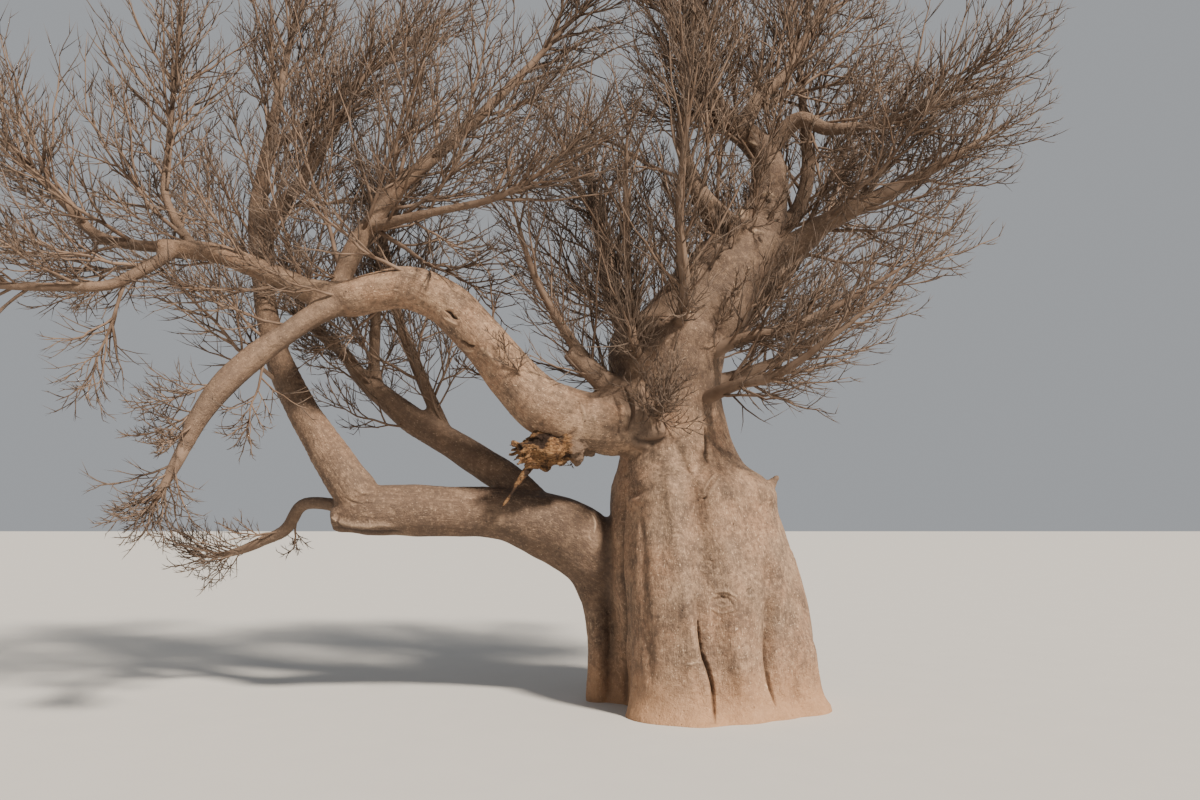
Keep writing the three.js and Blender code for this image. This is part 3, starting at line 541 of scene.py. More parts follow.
# The seeded rule for the shoots, as in the solids, with two finer orders added
SEED = 20417
GOLDEN_ANGLE = 2.39996
SHOOTS_ON_STEM = 24
STEM_STRIDE = 7
STEM_SHOOTS = 24
SHOOT_STRIDE = 5
STEM_SECONDS = 8
SIDE_SHOOTS = 12
SHORT_SHOOTS = 5
WHIP_SECONDS = 5
BOUGH_ROOT = 0.85  # how far out a side bough starts, as a share of its limb's radius
WHIP_LENGTH = 0.72
WHIP_SHARE = 0.6
WHIP_SLENDERNESS = 62
SHOOTS_ON_SHOOT = 9
FIRST_SHARE = 0.16
SHARE_JITTER = 0.6
TURN_JITTER = 1.2
SHOOT_TILT = (0.45, 1.05)
TILT_EASE = 0.35
SHOOT_SIZE = (0.75, 1.15)
SIZE_EASE = 0.45
SHOOT_LIFT = 0.22
SHOOT_SWAY = 0.24
SECOND_SHARE = 0.5
SHOOT_SLENDERNESS = 66
SECOND_SLENDERNESS = 50
FINE_SLENDERNESS = 55
SIDE_SLENDERNESS = 62
FINE_SHARE = 0.72
SPURS = 5
SPUR_SHARE = 0.5
CROWDED_STRETCH = (0.02, 0.62)  # the stretch of a stem that short crowded twigs stand on
SHOOT_TO_PARENT = 0.8
LONG_THIRD = 0.3  # a finest shoot longer than this gets one more ring
LONG_BOUGH = 1.0  # a side bough longer than this gets more shoots
WANDER_PACES = ((1.6, 8), (2.3, 9))  # how fast a shoot wanders to each side, and the salt of where it starts
WANDER_START = 6.3
SHOOT_TAPER = 0.75
GIRTH_POWER = 0.9
STEM_STEPS = 26
STEM_SIDES = 10
STEM_SUNK = 0.12
STEM_TIP_SHARE = 0.3
POINTS_AT_ONCE = 4000  # keeps the table of distances small

# The least radii at the feet of the shoots
SIDE_LEAST_RADIUS = 0.016
FIRST_LEAST_RADIUS = 0.010
SECOND_LEAST_RADIUS = 0.0075
CROWDED_LEAST_RADIUS = 0.006
THIRD_LEAST_RADIUS = 0.0055
SPUR_LEAST_RADIUS = 0.0045

# What the twigs keep clear of, and how far they reach beyond their mass's solid
LIMB_MARGIN = 0.03
GROUND_MARGIN = 0.9
MASS_REACH = 0.6

# The places of the two materials of the twigs
STEM_BARK = 0
TWIG_BARK = 1
SPECULAR = 0.3
FLOOR_SHADE = 0.94

# The camera of the photograph, and how far off the main light stands
CAMERA_PLACE = (-1.433, -13.65, 2.40)
CAMERA_PITCH = math.radians(6.84)
CAMERA_LENS = 30.0
CAMERA_SENSOR = 36.0
CAMERA_REACH = 1000.0
PICTURE = (1200, 800)
KEY_DISTANCE = 30.0

# Marks on the bark, drawn on the side that faces the viewer: depth (less than nothing for a groove), width,
# how much it darkens or pales the bark, where some of the darkening is painted shade, and the pixels of the
# photograph that it runs through
MARKS = (
    # grooves between the columns, darkened with painted shade, and a broad band of painted shade on the flank
    # behind the front column
    (-0.055, 0.075, 0.26, ((697, 596), (698, 612), (701, 632), (705, 652))),
    (-0.085, 0.024, 0.85, ((699, 622), (701, 640), (703, 655), (709, 671), (713, 690), (715, 722))),
    (0.045, 0.060, -0.05, ((689, 622), (693, 640), (696, 656), (702, 673), (706, 692), (707, 708))),
    (-0.050, 0.075, 0.24, ((771, 605), (769, 622), (768, 645), (769, 668))),
    (-0.070, 0.024, 0.75, ((770, 630), (767, 648), (767, 664), (769, 682), (775, 706))),
    (0.040, 0.070, 0.0, ((784, 620), (778, 640), (776, 660), (778, 680), (783, 695))),
    (-0.060, 0.050, 0.80, ((624, 500), (622, 560), (624, 600), (625, 660), (625, 700))),
    (0.0, 0.130, 0.68, ((612, 500), (608, 545), (607, 600), (607, 650), (608, 704))),
    # the ridge of the front column, the valleys beside it, darkened a little with painted shade, and the
    # swelling lobes on its right
    (0.055, 0.120, 0.0, ((668, 478), (674, 515), (681, 560), (686, 600), (690, 640), (693, 690))),
    (-0.080, 0.120, 0.14, ((691, 478), (697, 515), (701, 550), (700, 585), (697, 612))),
    (-0.035, 0.090, 0.12, ((641, 520), (643, 570), (646, 620), (650, 680))),
    (0.060, 0.150, 0.0, ((727, 548), (733, 585), (736, 620), (740, 660), (741, 690))),
    (-0.070, 0.105, 0.12, ((768, 560), (769, 590), (771, 615), (769, 640))),
    (0.055, 0.130, 0.0, ((790, 540), (794, 580), (797, 620), (796, 660), (797, 690))),
    # the knot on the middle lobe
    (0.020, 0.022, -0.15, ((708, 605), (711, 597), (718, 592), (728, 592), (736, 599))),
    (0.014, 0.022, -0.15, ((712, 609), (720, 613), (731, 610))),
    (-0.018, 0.016, 0.30, ((712, 602), (718, 598), (727, 599), (732, 605))),
    (0.014, 0.018, -0.20, ((717, 605), (723, 607), (729, 605))),
    (-0.022, 0.013, 0.70, ((720, 596), (725, 597))),
    # torn hollows and rims in the forks of the leader
    (-0.100, 0.075, 0.95, ((716, 205), (721, 216), (724, 230), (722, 244))),
    (-0.080, 0.050, 0.90, ((731, 204), (735, 214), (735, 224))),
    (0.050, 0.030, -0.60, ((727, 194), (736, 197), (742, 207), (741, 219))),
    (-0.045, 0.022, 0.85, ((765, 200), (771, 202))),
    (0.020, 0.026, -0.45, ((761, 195), (768, 193), (775, 197))),
    (-0.030, 0.022, 0.70, ((749, 148), (754, 152))),
    (0.024, 0.026, -0.40, ((743, 143), (750, 142), (757, 146))),
    (-0.030, 0.022, 0.70, ((757, 236), (762, 243))),
    (0.020, 0.024, -0.40, ((752, 234), (757, 230), (764, 233))),
    # the brown wrinkled skin of the collar
    (0.0, 0.110, 0.30, ((622, 392), (634, 404), (642, 420), (650, 436))),
    (-0.030, 0.020, 0.50, ((613, 396), (618, 408), (620, 422), (618, 434))),
    (-0.032, 0.020, 0.55, ((624, 388), (629, 400), (631, 414), (628, 430))),
    (-0.030, 0.018, 0.50, ((637, 388), (641, 400), (643, 412), (641, 424))),
    # a dark crease under the knobs of the collar, painted shadow
    (-0.050, 0.034, 0.80, ((634, 436), (641, 441), (651, 443), (661, 441), (669, 436))),
    (-0.026, 0.018, 0.45, ((648, 404), (656, 416), (660, 428))),
    (0.030, 0.026, -0.15, ((620, 402), (625, 414), (625, 426))),
    (0.034, 0.028, -0.15, ((634, 400), (637, 412), (635, 424))),
    (0.026, 0.024, -0.15, ((646, 410), (651, 420), (652, 430))),
    # the crease where the neck folds into the shoulders, darkened with painted shade, and the crack above it
    (-0.045, 0.042, 0.35, ((677, 446), (681, 456), (685, 464), (690, 474))),
    (-0.040, 0.042, 0.30, ((705, 452), (702, 464), (697, 474))),
    (-0.050, 0.018, 0.85, ((705, 428), (706, 440), (706, 452), (708, 464))),
    # hollow and lips on the right shoulder
    (0.028, 0.026, -0.25, ((716, 473), (711, 479), (706, 487), (702, 494))),
    (0.022, 0.024, -0.2, ((720, 474), (716, 483), (711, 491), (708, 497))),
    (-0.060, 0.022, 0.9, ((704, 497), (705, 499))),
    (-0.030, 0.016, 0.7, ((713, 478), (709, 486), (705, 494))),
    # the shoulder under the broken horn
    (0.050, 0.080, 0.0, ((768, 494), (772, 506))),
    (0.012, 0.020, -0.4, ((750, 472), (754, 476))),
    (0.012, 0.018, -0.3, ((758, 512), (761, 508))),
    # scars with a pale lip
    (-0.010, 0.011, 0.35, ((672, 536), (676, 534), (681, 535), (684, 537))),
    (0.006, 0.012, -0.2, ((674, 538), (679, 537), (684, 540))),
    (-0.012, 0.012, 0.4, ((745, 593), (747, 590), (751, 589), (754, 592))),
    (0.008, 0.013, -0.2, ((746, 596), (750, 597), (755, 595))),
    (-0.009, 0.012, 0.3, ((683, 583), (685, 580), (689, 581))),
    (0.006, 0.012, -0.2, ((683, 586), (687, 586), (690, 584))),
    (-0.007, 0.012, 0.25, ((774, 592), (776, 590), (779, 591))),
    (-0.008, 0.014, 0.15, ((701, 563), (706, 560), (712, 561), (716, 565))),
    (0.010, 0.018, -0.05, ((703, 569), (709, 572), (715, 569))),
    (0.008, 0.012, -0.45, ((686, 664), (692, 663), (699, 662))),
    (0.008, 0.011, -0.35, ((751, 640), (755, 648), (759, 654))),
    (0.010, 0.022, -0.7, ((765, 685), (768, 688))),
    # pinholes and small pits
    (-0.022, 0.011, 0.9, ((726, 495), (727, 495))),
    (-0.020, 0.010, 0.9, ((737, 506), (738, 506))),
    (-0.016, 0.010, 0.8, ((733, 524), (734, 524))),
    (-0.016, 0.010, 0.8, ((747, 551), (748, 551))),
    (-0.014, 0.010, 0.7, ((744, 580), (745, 580))),
    (-0.016, 0.010, 0.8, ((749, 566), (750, 566))),
    (-0.026, 0.012, 0.9, ((696, 615), (697, 616))),
    (-0.018, 0.013, 0.7, ((755, 626), (758, 628))),
    (-0.014, 0.010, 0.8, ((747, 611), (748, 611))),
    # wrinkles across the front column under its shaded top, with a line of painted shade along the ledge
    # under that top
    (0.040, 0.055, 0.0, ((627, 503), (636, 502), (647, 499), (656, 493))),
    (-0.030, 0.040, 0.15, ((628, 494), (638, 493), (648, 489), (655, 483))),
    (-0.008, 0.016, 0.05, ((655, 470), (664, 474), (676, 473), (688, 469))),
    (-0.007, 0.015, 0.05, ((652, 480), (667, 484), (681, 482))),
    (-0.007, 0.016, 0.05, ((660, 488), (672, 491), (686, 488))),
    (-0.007, 0.015, 0.05, ((648, 461), (660, 465), (673, 463))),
    # slits in the arched bough, with a pale lip under each
    (-0.060, 0.020, 0.95, ((446, 311), (450, 313), (453, 317), (457, 319))),
    (0.016, 0.020, -0.4, ((444, 318), (450, 321), (457, 325))),
    (-0.055, 0.018, 0.95, ((461, 341), (465, 343), (469, 346), (474, 346))),
    (0.016, 0.018, -0.4, ((462, 348), (467, 351), (474, 351))),
    (-0.014, 0.020, 0.3, ((441, 333), (452, 338), (458, 347))),
    (-0.014, 0.018, 0.3, ((476, 357), (482, 360), (486, 366))),
    (0.014, 0.024, -0.3, ((480, 348), (488, 354), (494, 362))),
    # the level bough's open underside: a rough pale lip, and the dark cavity behind it, darkened with painted
    # shade
    (0.055, 0.034, -0.35, ((333, 517), (340, 521), (350, 523), (366, 525), (382, 524), (396, 526))),
    (-0.045, 0.052, 1.0, ((337, 527), (350, 530), (366, 532), (382, 532), (396, 532), (404, 534))),
    (0.022, 0.014, -0.6, ((337, 519), (341, 523))),
    (0.020, 0.014, -0.6, ((352, 522), (355, 526))),
    (0.022, 0.014, -0.6, ((369, 519), (371, 526))),
    (0.018, 0.014, -0.6, ((384, 522), (386, 526))),
    (-0.016, 0.014, 0.4, ((345, 522), (347, 527))),
    (-0.016, 0.014, 0.4, ((361, 523), (362, 528))),
    (-0.016, 0.014, 0.4, ((377, 521), (378, 527))),
    (0.040, 0.034, -0.10, ((333, 524), (334, 520), (336, 515))),
    (-0.030, 0.020, 0.9, ((339, 518), (340, 523), (342, 527))),
    # chips where the level bough leaves the strut
    (-0.018, 0.016, 0.3, ((596, 513), (599, 522), (598, 532))),
    (0.016, 0.016, -0.5, ((592, 515), (595, 523), (594, 533))),
    (0.012, 0.014, -0.4, ((588, 536), (591, 541))),
    # folds in the crook of the arch and of the elbow
    (-0.020, 0.030, 0.10, ((577, 400), (581, 410), (583, 422), (582, 434))),
    (0.012, 0.024, -0.3, ((581, 404), (584, 412), (584, 421))),
    (0.030, 0.022, -0.3, ((594, 415), (595, 422))),
    # torn bark over the root of the torn stub
    (0.030, 0.030, -0.55, ((548, 446), (556, 449), (563, 446), (571, 442), (580, 437))),
    (-0.020, 0.022, 0.45, ((556, 441), (565, 438), (572, 434), (577, 429))),
    (-0.014, 0.016, 0.3, ((343, 497), (355, 503), (372, 503))),
    (-0.010, 0.014, 0.25, ((352, 489), (362, 495), (378, 494))),
)


# Numbers and lines


def unit(vectors):
    """Vectors scaled to length one."""
    return vectors / np.maximum(np.linalg.norm(vectors, axis=-1, keepdims=True), NEARLY_NOTHING)


def dot(first, second):
    """The dot product of each row of one array with the same row of another."""
    return np.einsum("ij,ij->i", first, second)


def even_shares(count):
    """Even shares from 0 to 1."""
    return np.linspace(0.0, 1.0, count)


def between(limits, share):
    """The value at a share of the way between two limits."""
    return limits[0] + (limits[1] - limits[0]) * share


def smoothstep(low, high, value):
    """A soft step from 0 at low to 1 at high."""
    share = np.clip((value - low) / (high - low), 0.0, 1.0)
    return share * share * (3.0 - 2.0 * share)


def chance(key, salt):
    """A number from 0 to 1 that depends only on its two whole-number keys."""
    word = np.uint64(WORD)
    mixed = np.asarray(key, np.uint64) * np.uint64(KEY_FACTOR)
    mixed = (mixed + np.uint64(salt * SALT_FACTOR & WORD)) & word
    for shift, factor in MIXING_ROUNDS:
        mixed = ((mixed ^ (mixed >> np.uint64(shift))) * np.uint64(factor)) & word
    return (mixed ^ (mixed >> np.uint64(LAST_SHIFT))).astype(float) / (WORD + 1)


def chances(key, salt, count):
    """Several numbers from 0 to 1 for each key."""
    return [chance(key, salt + i) for i in range(count)]


def dealt(rule, draw):
    """The least value of a rule, with as much of its range added as chance says."""
    return rule[0] + rule[1] * draw


def soft_noise(points, size, salt):
    """Smooth noise from -1 to 1, with lumps of about the given size."""
    place = points / size
    cell = np.floor(place)
    share = place - cell
    share = share * share * (3.0 - 2.0 * share)
    cell = cell.astype(np.int64)
    total = np.zeros(points.shape[:-1])
    for corner in product((0, 1), repeat=3):
        key = np.bitwise_xor.reduce((cell + np.array(corner)) * np.array(CELL_FACTORS), axis=-1)
        weight = np.prod(np.where(corner, share, 1.0 - share), axis=-1)
        total += weight * chance(key & WORD, salt)
    return 2.0 * total - 1.0


def bent(root, middle, tip, s):
    """Points on curves that bend once."""
    return root * (1 - s) ** 2 + middle * 2 * s * (1 - s) + tip * s * s


def slope(line, share, step):
    """The direction of a line, or of many, at shares along it."""
    return unit(line.point(np.minimum(share + step, 1.0)) - line.point(np.maximum(share - step, 0.0)))


class Line:
    """A smooth line through waypoints (x, y, z, radius), as a limb's middle."""

    def __init__(self, waypoints):
        way = np.array(waypoints, float)
        self.last = len(way) - 1
        self.way = np.vstack((2 * way[0] - way[1], way, 2 * way[-1] - way[-2]))

    def _at(self, share):
        place = np.clip(share, 0.0, 1.0) * self.last
        first = np.minimum(place.astype(int), self.last - 1)
        s = (place - first)[..., None]
        a, b, c, d = (self.way[first + step] for step in range(4))
        leave, arrive = (c - a) / 2, (d - b) / 2
        return (
            b * (2 * s**3 - 3 * s**2 + 1) + c * (3 * s**2 - 2 * s**3)
            + leave * (s**3 - 2 * s**2 + s) + arrive * (s**3 - s**2)
        )

    def point(self, share):
        return self._at(share)[..., :3]

    def radius(self, share):
        return self._at(share)[..., 3]

    def tangent(self, share):
        return slope(self, share, 1e-4)


class Stem:
    """The stem of a mass, on from a limb's tip: a line that bends once and thins out."""

    def __init__(self, limb, length, lift):
        heading = limb.tangent(END)[0]
        self.start = float(limb.radius(END)[0])
        self.root = limb.point(END)[0]
        self.middle = self.root + heading * length / 2
        self.tip = self.root + heading * length + UP * lift * length

    def point(self, share):
        return bent(self.root, self.middle, self.tip, share[..., None])

    def tangent(self, share):
        s = share[..., None]
        return unit((self.middle - self.root) * (1 - s) + (self.tip - self.middle) * s)

    def radius(self, share):
        return self.start * (1.0 + (STEM_TIP_SHARE - 1.0) * share)


def across_of(along, reference):
    """Two directions that are square to a line's own direction and to each other."""
    side = unit(np.cross(along, reference))
    return side, np.cross(side, along)


def reference_of(centre):
    """The fixed direction that the rings round one whole line are turned by."""
    return UP if abs(unit(centre[-1] - centre[0])[1]) > STEEP else BACK


def steady(along):
    """The fixed direction that each of many short lines is turned by."""
    return np.where(np.abs(along[..., 2:]) > STEEP, BACK, UP)


def turns_round(sides):
    """Even angles, once round."""
    return np.arange(sides) * (2 * math.pi / sides)


def out_of(centre, along, sides):
    """The directions out of a line, all round each of its points."""
    side, across = across_of(along, reference_of(centre))
    turn = turns_round(sides)[:, None]
    return side[:, None] * np.cos(turn) + across[:, None] * np.sin(turn)


def rings(line, share, sides, lumps, salt):
    """Rings of points round a line, one for each share, with the radius made uneven by lumps."""
    centre = line.point(share)
    outward = out_of(centre, line.tangent(share), sides)
    radius = line.radius(share)[:, None, None]
    girth = np.clip(radius[..., 0], *LUMPY_GIRTHS)
    place = centre[:, None] + outward * radius
    uneven = sum(part * soft_noise(place, size, salt + i) for i, (part, size) in enumerate(LIMB_LUMPS))
    radius = radius * (1.0 + lumps * uneven * (0.6 + 0.4 * girth / girth.max()))[..., None]
    return centre[:, None] + outward * radius


# Meshes


def wall_faces(sides, steps):
    """The four-sided faces between rings that follow each other, one row of faces for each step."""
    start = np.arange(sides)
    after = (start + 1) % sides
    row = np.stack((start, after, after + sides, start + sides), axis=-1)
    return row[None] + (np.arange(steps) * sides)[:, None, None]


class Gathered:
    """Points and faces of many closed shapes, gathered for one mesh."""

    def __init__(self):
        self.points = []
        self.faces = []
        self.count = 0

    def add(self, points, faces, finish=0):
        """Adds points, and faces as arrays of rows, each row one face; finish is the material's place."""
        points = points.reshape(-1, 3)
        self.faces += [(rows.reshape(-1, rows.shape[-1]) + self.count, finish) for rows in faces]
        self.points.append(points)
        self.count += len(points)

    def add_tube(self, ring_points):
        """A closed tube through rings of points."""
        steps, sides = ring_points.shape[:2]
        start = np.arange(sides)
        caps = np.stack((start[::-1], start + (steps - 1) * sides))
        self.add(ring_points, (wall_faces(sides, steps - 1), caps))

    def mesh(self, name):
        """The mesh of everything gathered."""
        made = bpy.data.meshes.new(name)
        points = np.concatenate(self.points)
        sizes = np.concatenate([np.full(len(rows), rows.shape[1]) for rows, _ in self.faces])
        finishes = np.concatenate([np.full(len(rows), finish) for rows, finish in self.faces])
        corners = np.concatenate([rows.ravel() for rows, _ in self.faces])
        made.vertices.add(len(points))
        made.vertices.foreach_set("co", points.ravel())
        made.loops.add(len(corners))
        made.loops.foreach_set("vertex_index", corners)
        made.polygons.add(len(sizes))
        made.polygons.foreach_set("loop_start", np.cumsum(sizes) - sizes)
        made.polygons.foreach_set("material_index", finishes)
        made.polygons.foreach_set("use_smooth", np.ones(len(sizes), bool))
        made.update(calc_edges=True)
        made.validate()
        return made


def read(items, field, kind=float, width=1):
    """One field of every item of a mesh, as an array with a row for each."""
    values = np.empty(len(items) * width, kind)
    items.foreach_get(field, values)
    return values.reshape(-1, width) if width > 1 else values


def points_of(mesh):
    return read(mesh.vertices, "co", width=3)


def normals_of(mesh):
    return read(mesh.vertex_normals, "vector", width=3)


def faces_of(mesh):
    """The mesh's faces, each as an array of its vertices."""
    corners = read(mesh.loops, "vertex_index", np.int32)
    return np.split(corners, read(mesh.polygons, "loop_start", np.int32)[1:])


def edges_of(mesh):
    """The mesh's edges as pairs of vertices, and how many of them meet at each vertex."""
    edges = read(mesh.edges, "vertices", np.int32, 2)
    return edges, np.maximum(np.bincount(edges.ravel(), minlength=len(mesh.vertices)), 1)


def set_points(mesh, points):
    mesh.vertices.foreach_set("co", points.ravel())
    mesh.update()


def add_attribute(mesh, name, values):
    """Gives each vertex of a mesh a named number or vector."""
    kind, field = ("FLOAT", "value") if values.ndim == 1 else ("FLOAT_VECTOR", "vector")
    mesh.attributes.new(name, kind, "POINT").data.foreach_set(field, values.ravel())


def spread(values, edges, counts, share):
    """Moves every vertex's values towards the mean of its neighbours'."""
    total = np.empty_like(values)
    for axis in range(values.shape[1]):
        column = values[:, axis]
        total[:, axis] = np.bincount(edges[:, 0], column[edges[:, 1]], len(values))
        total[:, axis] += np.bincount(edges[:, 1], column[edges[:, 0]], len(values))
    return values + share * (total / counts[:, None] - values)


def linked(name, data):
    """A new object in the scene for a mesh, a light or a camera."""
    made = bpy.data.objects.new(name, data)
    bpy.context.scene.collection.objects.link(made)
    return made


def fused(raw, name, voxel):
    """Gathered closed shapes, fused into one mesh of small, even faces."""
    holder = linked(name, raw.mesh(name))
    fuse = holder.modifiers.new("fuse", "REMESH")
    fuse.mode = "VOXEL"
    fuse.voxel_size = voxel
    bpy.context.view_layer.update()
    mesh = bpy.data.meshes.new_from_object(holder.evaluated_get(bpy.context.evaluated_depsgraph_get()))
    bpy.data.objects.remove(holder)
    return mesh


def placed(name, mesh, materials, nodes):
    """An object for a mesh, with its materials, that rides with the tree and stands for its solids."""
    piece = linked(name, mesh)
    for material in materials:
        mesh.materials.append(material)
    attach(piece, "root")
    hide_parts(*nodes)


# Trunk and skin


TRUNK_AXIS = Line([(lean, radius, height, 0.0) for height, lean, radius in TRUNK_SECTIONS])
LIMB_LINES = {name: Line(waypoints) for name, waypoints in {**WEST_LIMBS, **HEAD_LIMBS}.items()}
STEMS = {
    **{mass: Stem(LIMB_LINES[limb], length, lift) for mass, (limb, length, lift, _) in TIP_MASSES.items()},
    **{mass: Line(waypoints) for mass, (_, waypoints) in TRUNK_MASSES.items()},
}


def trunk_at(height):
    """How far the trunk's middle leans to the right at a height, and its outer radius there."""
    heights, leans, radii = zip(*TRUNK_SECTIONS)
    return np.interp(height, heights, leans), np.interp(height, heights, radii)


def trunk_radius(outer, height, angle):
    """The trunk's outline, as a distance from its axis: the columns merge by a smooth maximum."""
    flute = FLUTE_DEPTH * np.clip(1 - height / FLUTE_TOP, 0.0, 1.0) ** FLUTE_FADE
    core = outer - flute
    off = np.degrees(np.angle(np.exp(1j * (angle - math.radians(TOE_ANGLE))))) / TOE_WIDTH
    foot = (FOOT_SPREAD + TOE_SPREAD * np.exp(-off * off)) * np.exp(-height / FOOT_RISE)
    total = core**COLUMN_BLEND
    for column_angle, proud, radius, top in COLUMNS + FILLING_COLUMNS:
        presence = 1 - smoothstep(COLUMN_FADE * top, top, height)
        far = core + (outer + proud - core) * presence
        girth = radius * outer / FOOT_RADIUS
        turn = angle - math.radians(column_angle)
        offset = (far - girth) * np.sin(turn)
        hit = (presence > 0) & (np.cos(turn) > 0) & (np.abs(offset) < girth)
        reach = (far - girth) * np.cos(turn) + np.sqrt(np.maximum(girth**2 - offset**2, 0.0))
        total = total + np.where(hit, np.maximum(reach, 0.0) ** COLUMN_BLEND, 0.0)
    return total ** (1 / COLUMN_BLEND) + foot


def trunk_rings():
    """Rings round the trunk, from below the ground to its top."""
    axis = TRUNK_AXIS.point(even_shares(TRUNK_STEPS))
    axis = np.vstack((axis[0] - (0.0, 0.0, BURIED), axis))
    lean, outer, height = (axis[:, i, None] for i in range(3))
    angle = turns_round(TRUNK_SIDES)[None]
    radius = trunk_radius(outer, np.maximum(height, 0.0), angle)
    x = lean + radius * np.cos(angle)
    y = radius * np.sin(angle)
    return np.stack((x, y, np.broadcast_to(height, x.shape)), axis=-1)


def ball(centre, radii, sides=24, steps=14):
    """A closed ball as rings of points, squashed to its radii."""
    rise = np.linspace(-POLE, POLE, steps)[:, None] * (math.pi / 2)
    turn = turns_round(sides)[None]
    shape = np.stack((np.cos(rise) * np.cos(turn), np.cos(rise) * np.sin(turn), np.sin(rise) + 0 * turn), -1)
    return np.array(centre) + shape * np.array(radii)


def raw_limb(line, salt):
    """A limb as rings of points with a lumpy outline, run on over the foot of its stem."""
    length = np.linalg.norm(np.diff(line.point(even_shares(60)), axis=0), axis=1).sum()
    steps = max(LEAST_LIMB_STEPS, int(length / LIMB_STEP))
    body = rings(line, even_shares(steps), sides=26, lumps=0.055, salt=salt)
    centre = line.point(END)[0]
    over = centre + line.tangent(END)[0] * LIMB_RUN_ON + (body[-1] - centre) * LIMB_END_SHARE
    return np.concatenate((body, over[None]))


def thick_part(stem):
    """The shares along a stem where it is thick enough to belong to the skin."""
    share = even_shares(80)
    thick = share[stem.radius(share) > SKIN_LEAST_RADIUS]
    return thick[thick < SKIN_STEM_SHARE]


def fused_skin(voxel):
    """The trunk and every limb, fused into one mesh."""
    raw = Gathered()
    raw.add_tube(trunk_rings())
    for centre, radii in ((COLLAR_CENTRE, COLLAR_RADII), *KNOBS):
        raw.add_tube(ball(centre, radii))
    for number, snag in enumerate(SNAGS):
        raw.add_tube(rings(Line(snag), even_shares(14), sides=16, lumps=0.10, salt=SNAG_SALT + number))
    raw.add_tube(rings(Line(STRUT), even_shares(40), sides=24, lumps=0.06, salt=STRUT_SALT))
    for number, line in enumerate(LIMB_LINES.values()):
        raw.add_tube(raw_limb(line, LIMB_SALT_STEP * number))
    for number, stem in enumerate(STEMS.values()):
        share = thick_part(stem)
        if len(share) > 3:
            raw.add_tube(rings(stem, share[::2], sides=16, lumps=0.05, salt=STEM_SALT + number))
    return fused(raw, "raw_skin", voxel)


def smooth_skin(mesh, plain_rounds, crease_rounds):
    """Takes the steps out of the skin, and fills the creases where limbs meet with a soft fillet."""
    edges, counts = edges_of(mesh)
    points = points_of(mesh)
    for _ in range(plain_rounds):
        points = spread(points, edges, counts, SMOOTH_IN)
        points = spread(points, edges, counts, SMOOTH_OUT)
    set_points(mesh, points)
    hollow = dot(spread(points, edges, counts, 1.0) - points, normals_of(mesh))
    step = np.linalg.norm(points[edges[:, 0]] - points[edges[:, 1]], axis=1).mean()
    crease = np.clip(hollow / (CREASE_DEPTH * step) - CREASE_SLACK, 0.0, 1.0)[:, None]
    crease *= (points[:, 2:] > CREASE_FLOOR)
    for _ in range(CREASE_ROUNDS):
        crease = np.maximum(crease, spread(crease, edges, counts, CREASE_SPREAD))
    for _ in range(crease_rounds):
        drawn = spread(points, edges, counts, CREASE_SPREAD) - points
        points += drawn * np.clip(crease * CREASE_PULL, 0.0, 1.0)
    set_points(mesh, points)


class Grain:
    """Where each point of the skin lies along the limb that it is on, as if that limb were straight."""

    def __init__(self, points):
        centre, along, side, across, radius, reach, limb = self._samples()
        tree = KDTree(len(centre))
        for i, place in enumerate(centre):
            tree.insert(place, i)
        tree.balance()
        near = np.array([tree.find(place)[1] for place in points])
        out = points - centre[near]
        self.limb = limb[near].astype(int)
        self.girth = radius[near]
        self.place = np.stack((
            dot(out, side[near]) + GRAIN_SHIFT * (self.limb + 1),
            dot(out, across[near]),
            reach[near] + dot(out, along[near]),
        ), axis=-1)
        self._take_trunk(points)

    @staticmethod
    def _samples():
        """Points on the lines of all limbs and stems, apart from those that lie inside a thicker one."""
        rows = []
        for number, line in enumerate([*LIMB_LINES.values(), *STEMS.values()]):
            share = even_shares(GRAIN_SAMPLES)
            centre, along = line.point(share), line.tangent(share)
            side, across = across_of(along, reference_of(centre))
            reach = np.concatenate(([0.0], np.cumsum(np.linalg.norm(np.diff(centre, axis=0), axis=1))))
            limb = np.full(GRAIN_SAMPLES, number)
            rows.append((centre, along, side, across, line.radius(share), reach, limb))
        parts = [np.concatenate(part) for part in zip(*rows)]
        centre, radius, limb = parts[0], parts[4], parts[6]
        gap = np.linalg.norm(centre[:, None] - centre[None], axis=-1)
        thicker = (radius[None] > radius[:, None] * GRAIN_THICKER) & (limb[None] != limb[:, None])
        free = ~np.any(thicker & (gap < GRAIN_INSIDE * radius[None]), axis=1)
        return tuple(part[free] for part in parts)

    def _take_trunk(self, points):
        """Gives the points on the trunk its own upright grain."""
        lean, outer = trunk_at(points[:, 2])
        across = np.hypot(points[:, 0] - lean, points[:, 1])
        angle = np.arctan2(points[:, 1], points[:, 0] - lean)
        mine = across < trunk_radius(outer, points[:, 2], angle) + TRUNK_SLACK
        mine &= points[:, 2] < TRUNK_TOP - TRUNK_CROWN
        mine |= points[:, 2] < ALL_TRUNK
        self.limb[mine] = ON_TRUNK
        self.girth[mine] = TRUNK_GIRTH
        self.place[mine] = np.stack((points[:, 0] - lean, points[:, 1], points[:, 2]), axis=-1)[mine]


def meeting(mesh, limb):
    """How near each vertex is to a line where two limbs' grains meet, from 0 to 1."""
    edges, counts = edges_of(mesh)
    near = np.zeros((len(limb), 1))
    near[edges[limb[edges[:, 0]] != limb[edges[:, 1]]].ravel()] = 1.0
    for _ in range(MEETING_ROUNDS):
        near = np.maximum(near, spread(near, edges, counts, 1.0))
    return smoothstep(0.0, MEETING_FULL, near[:, 0])


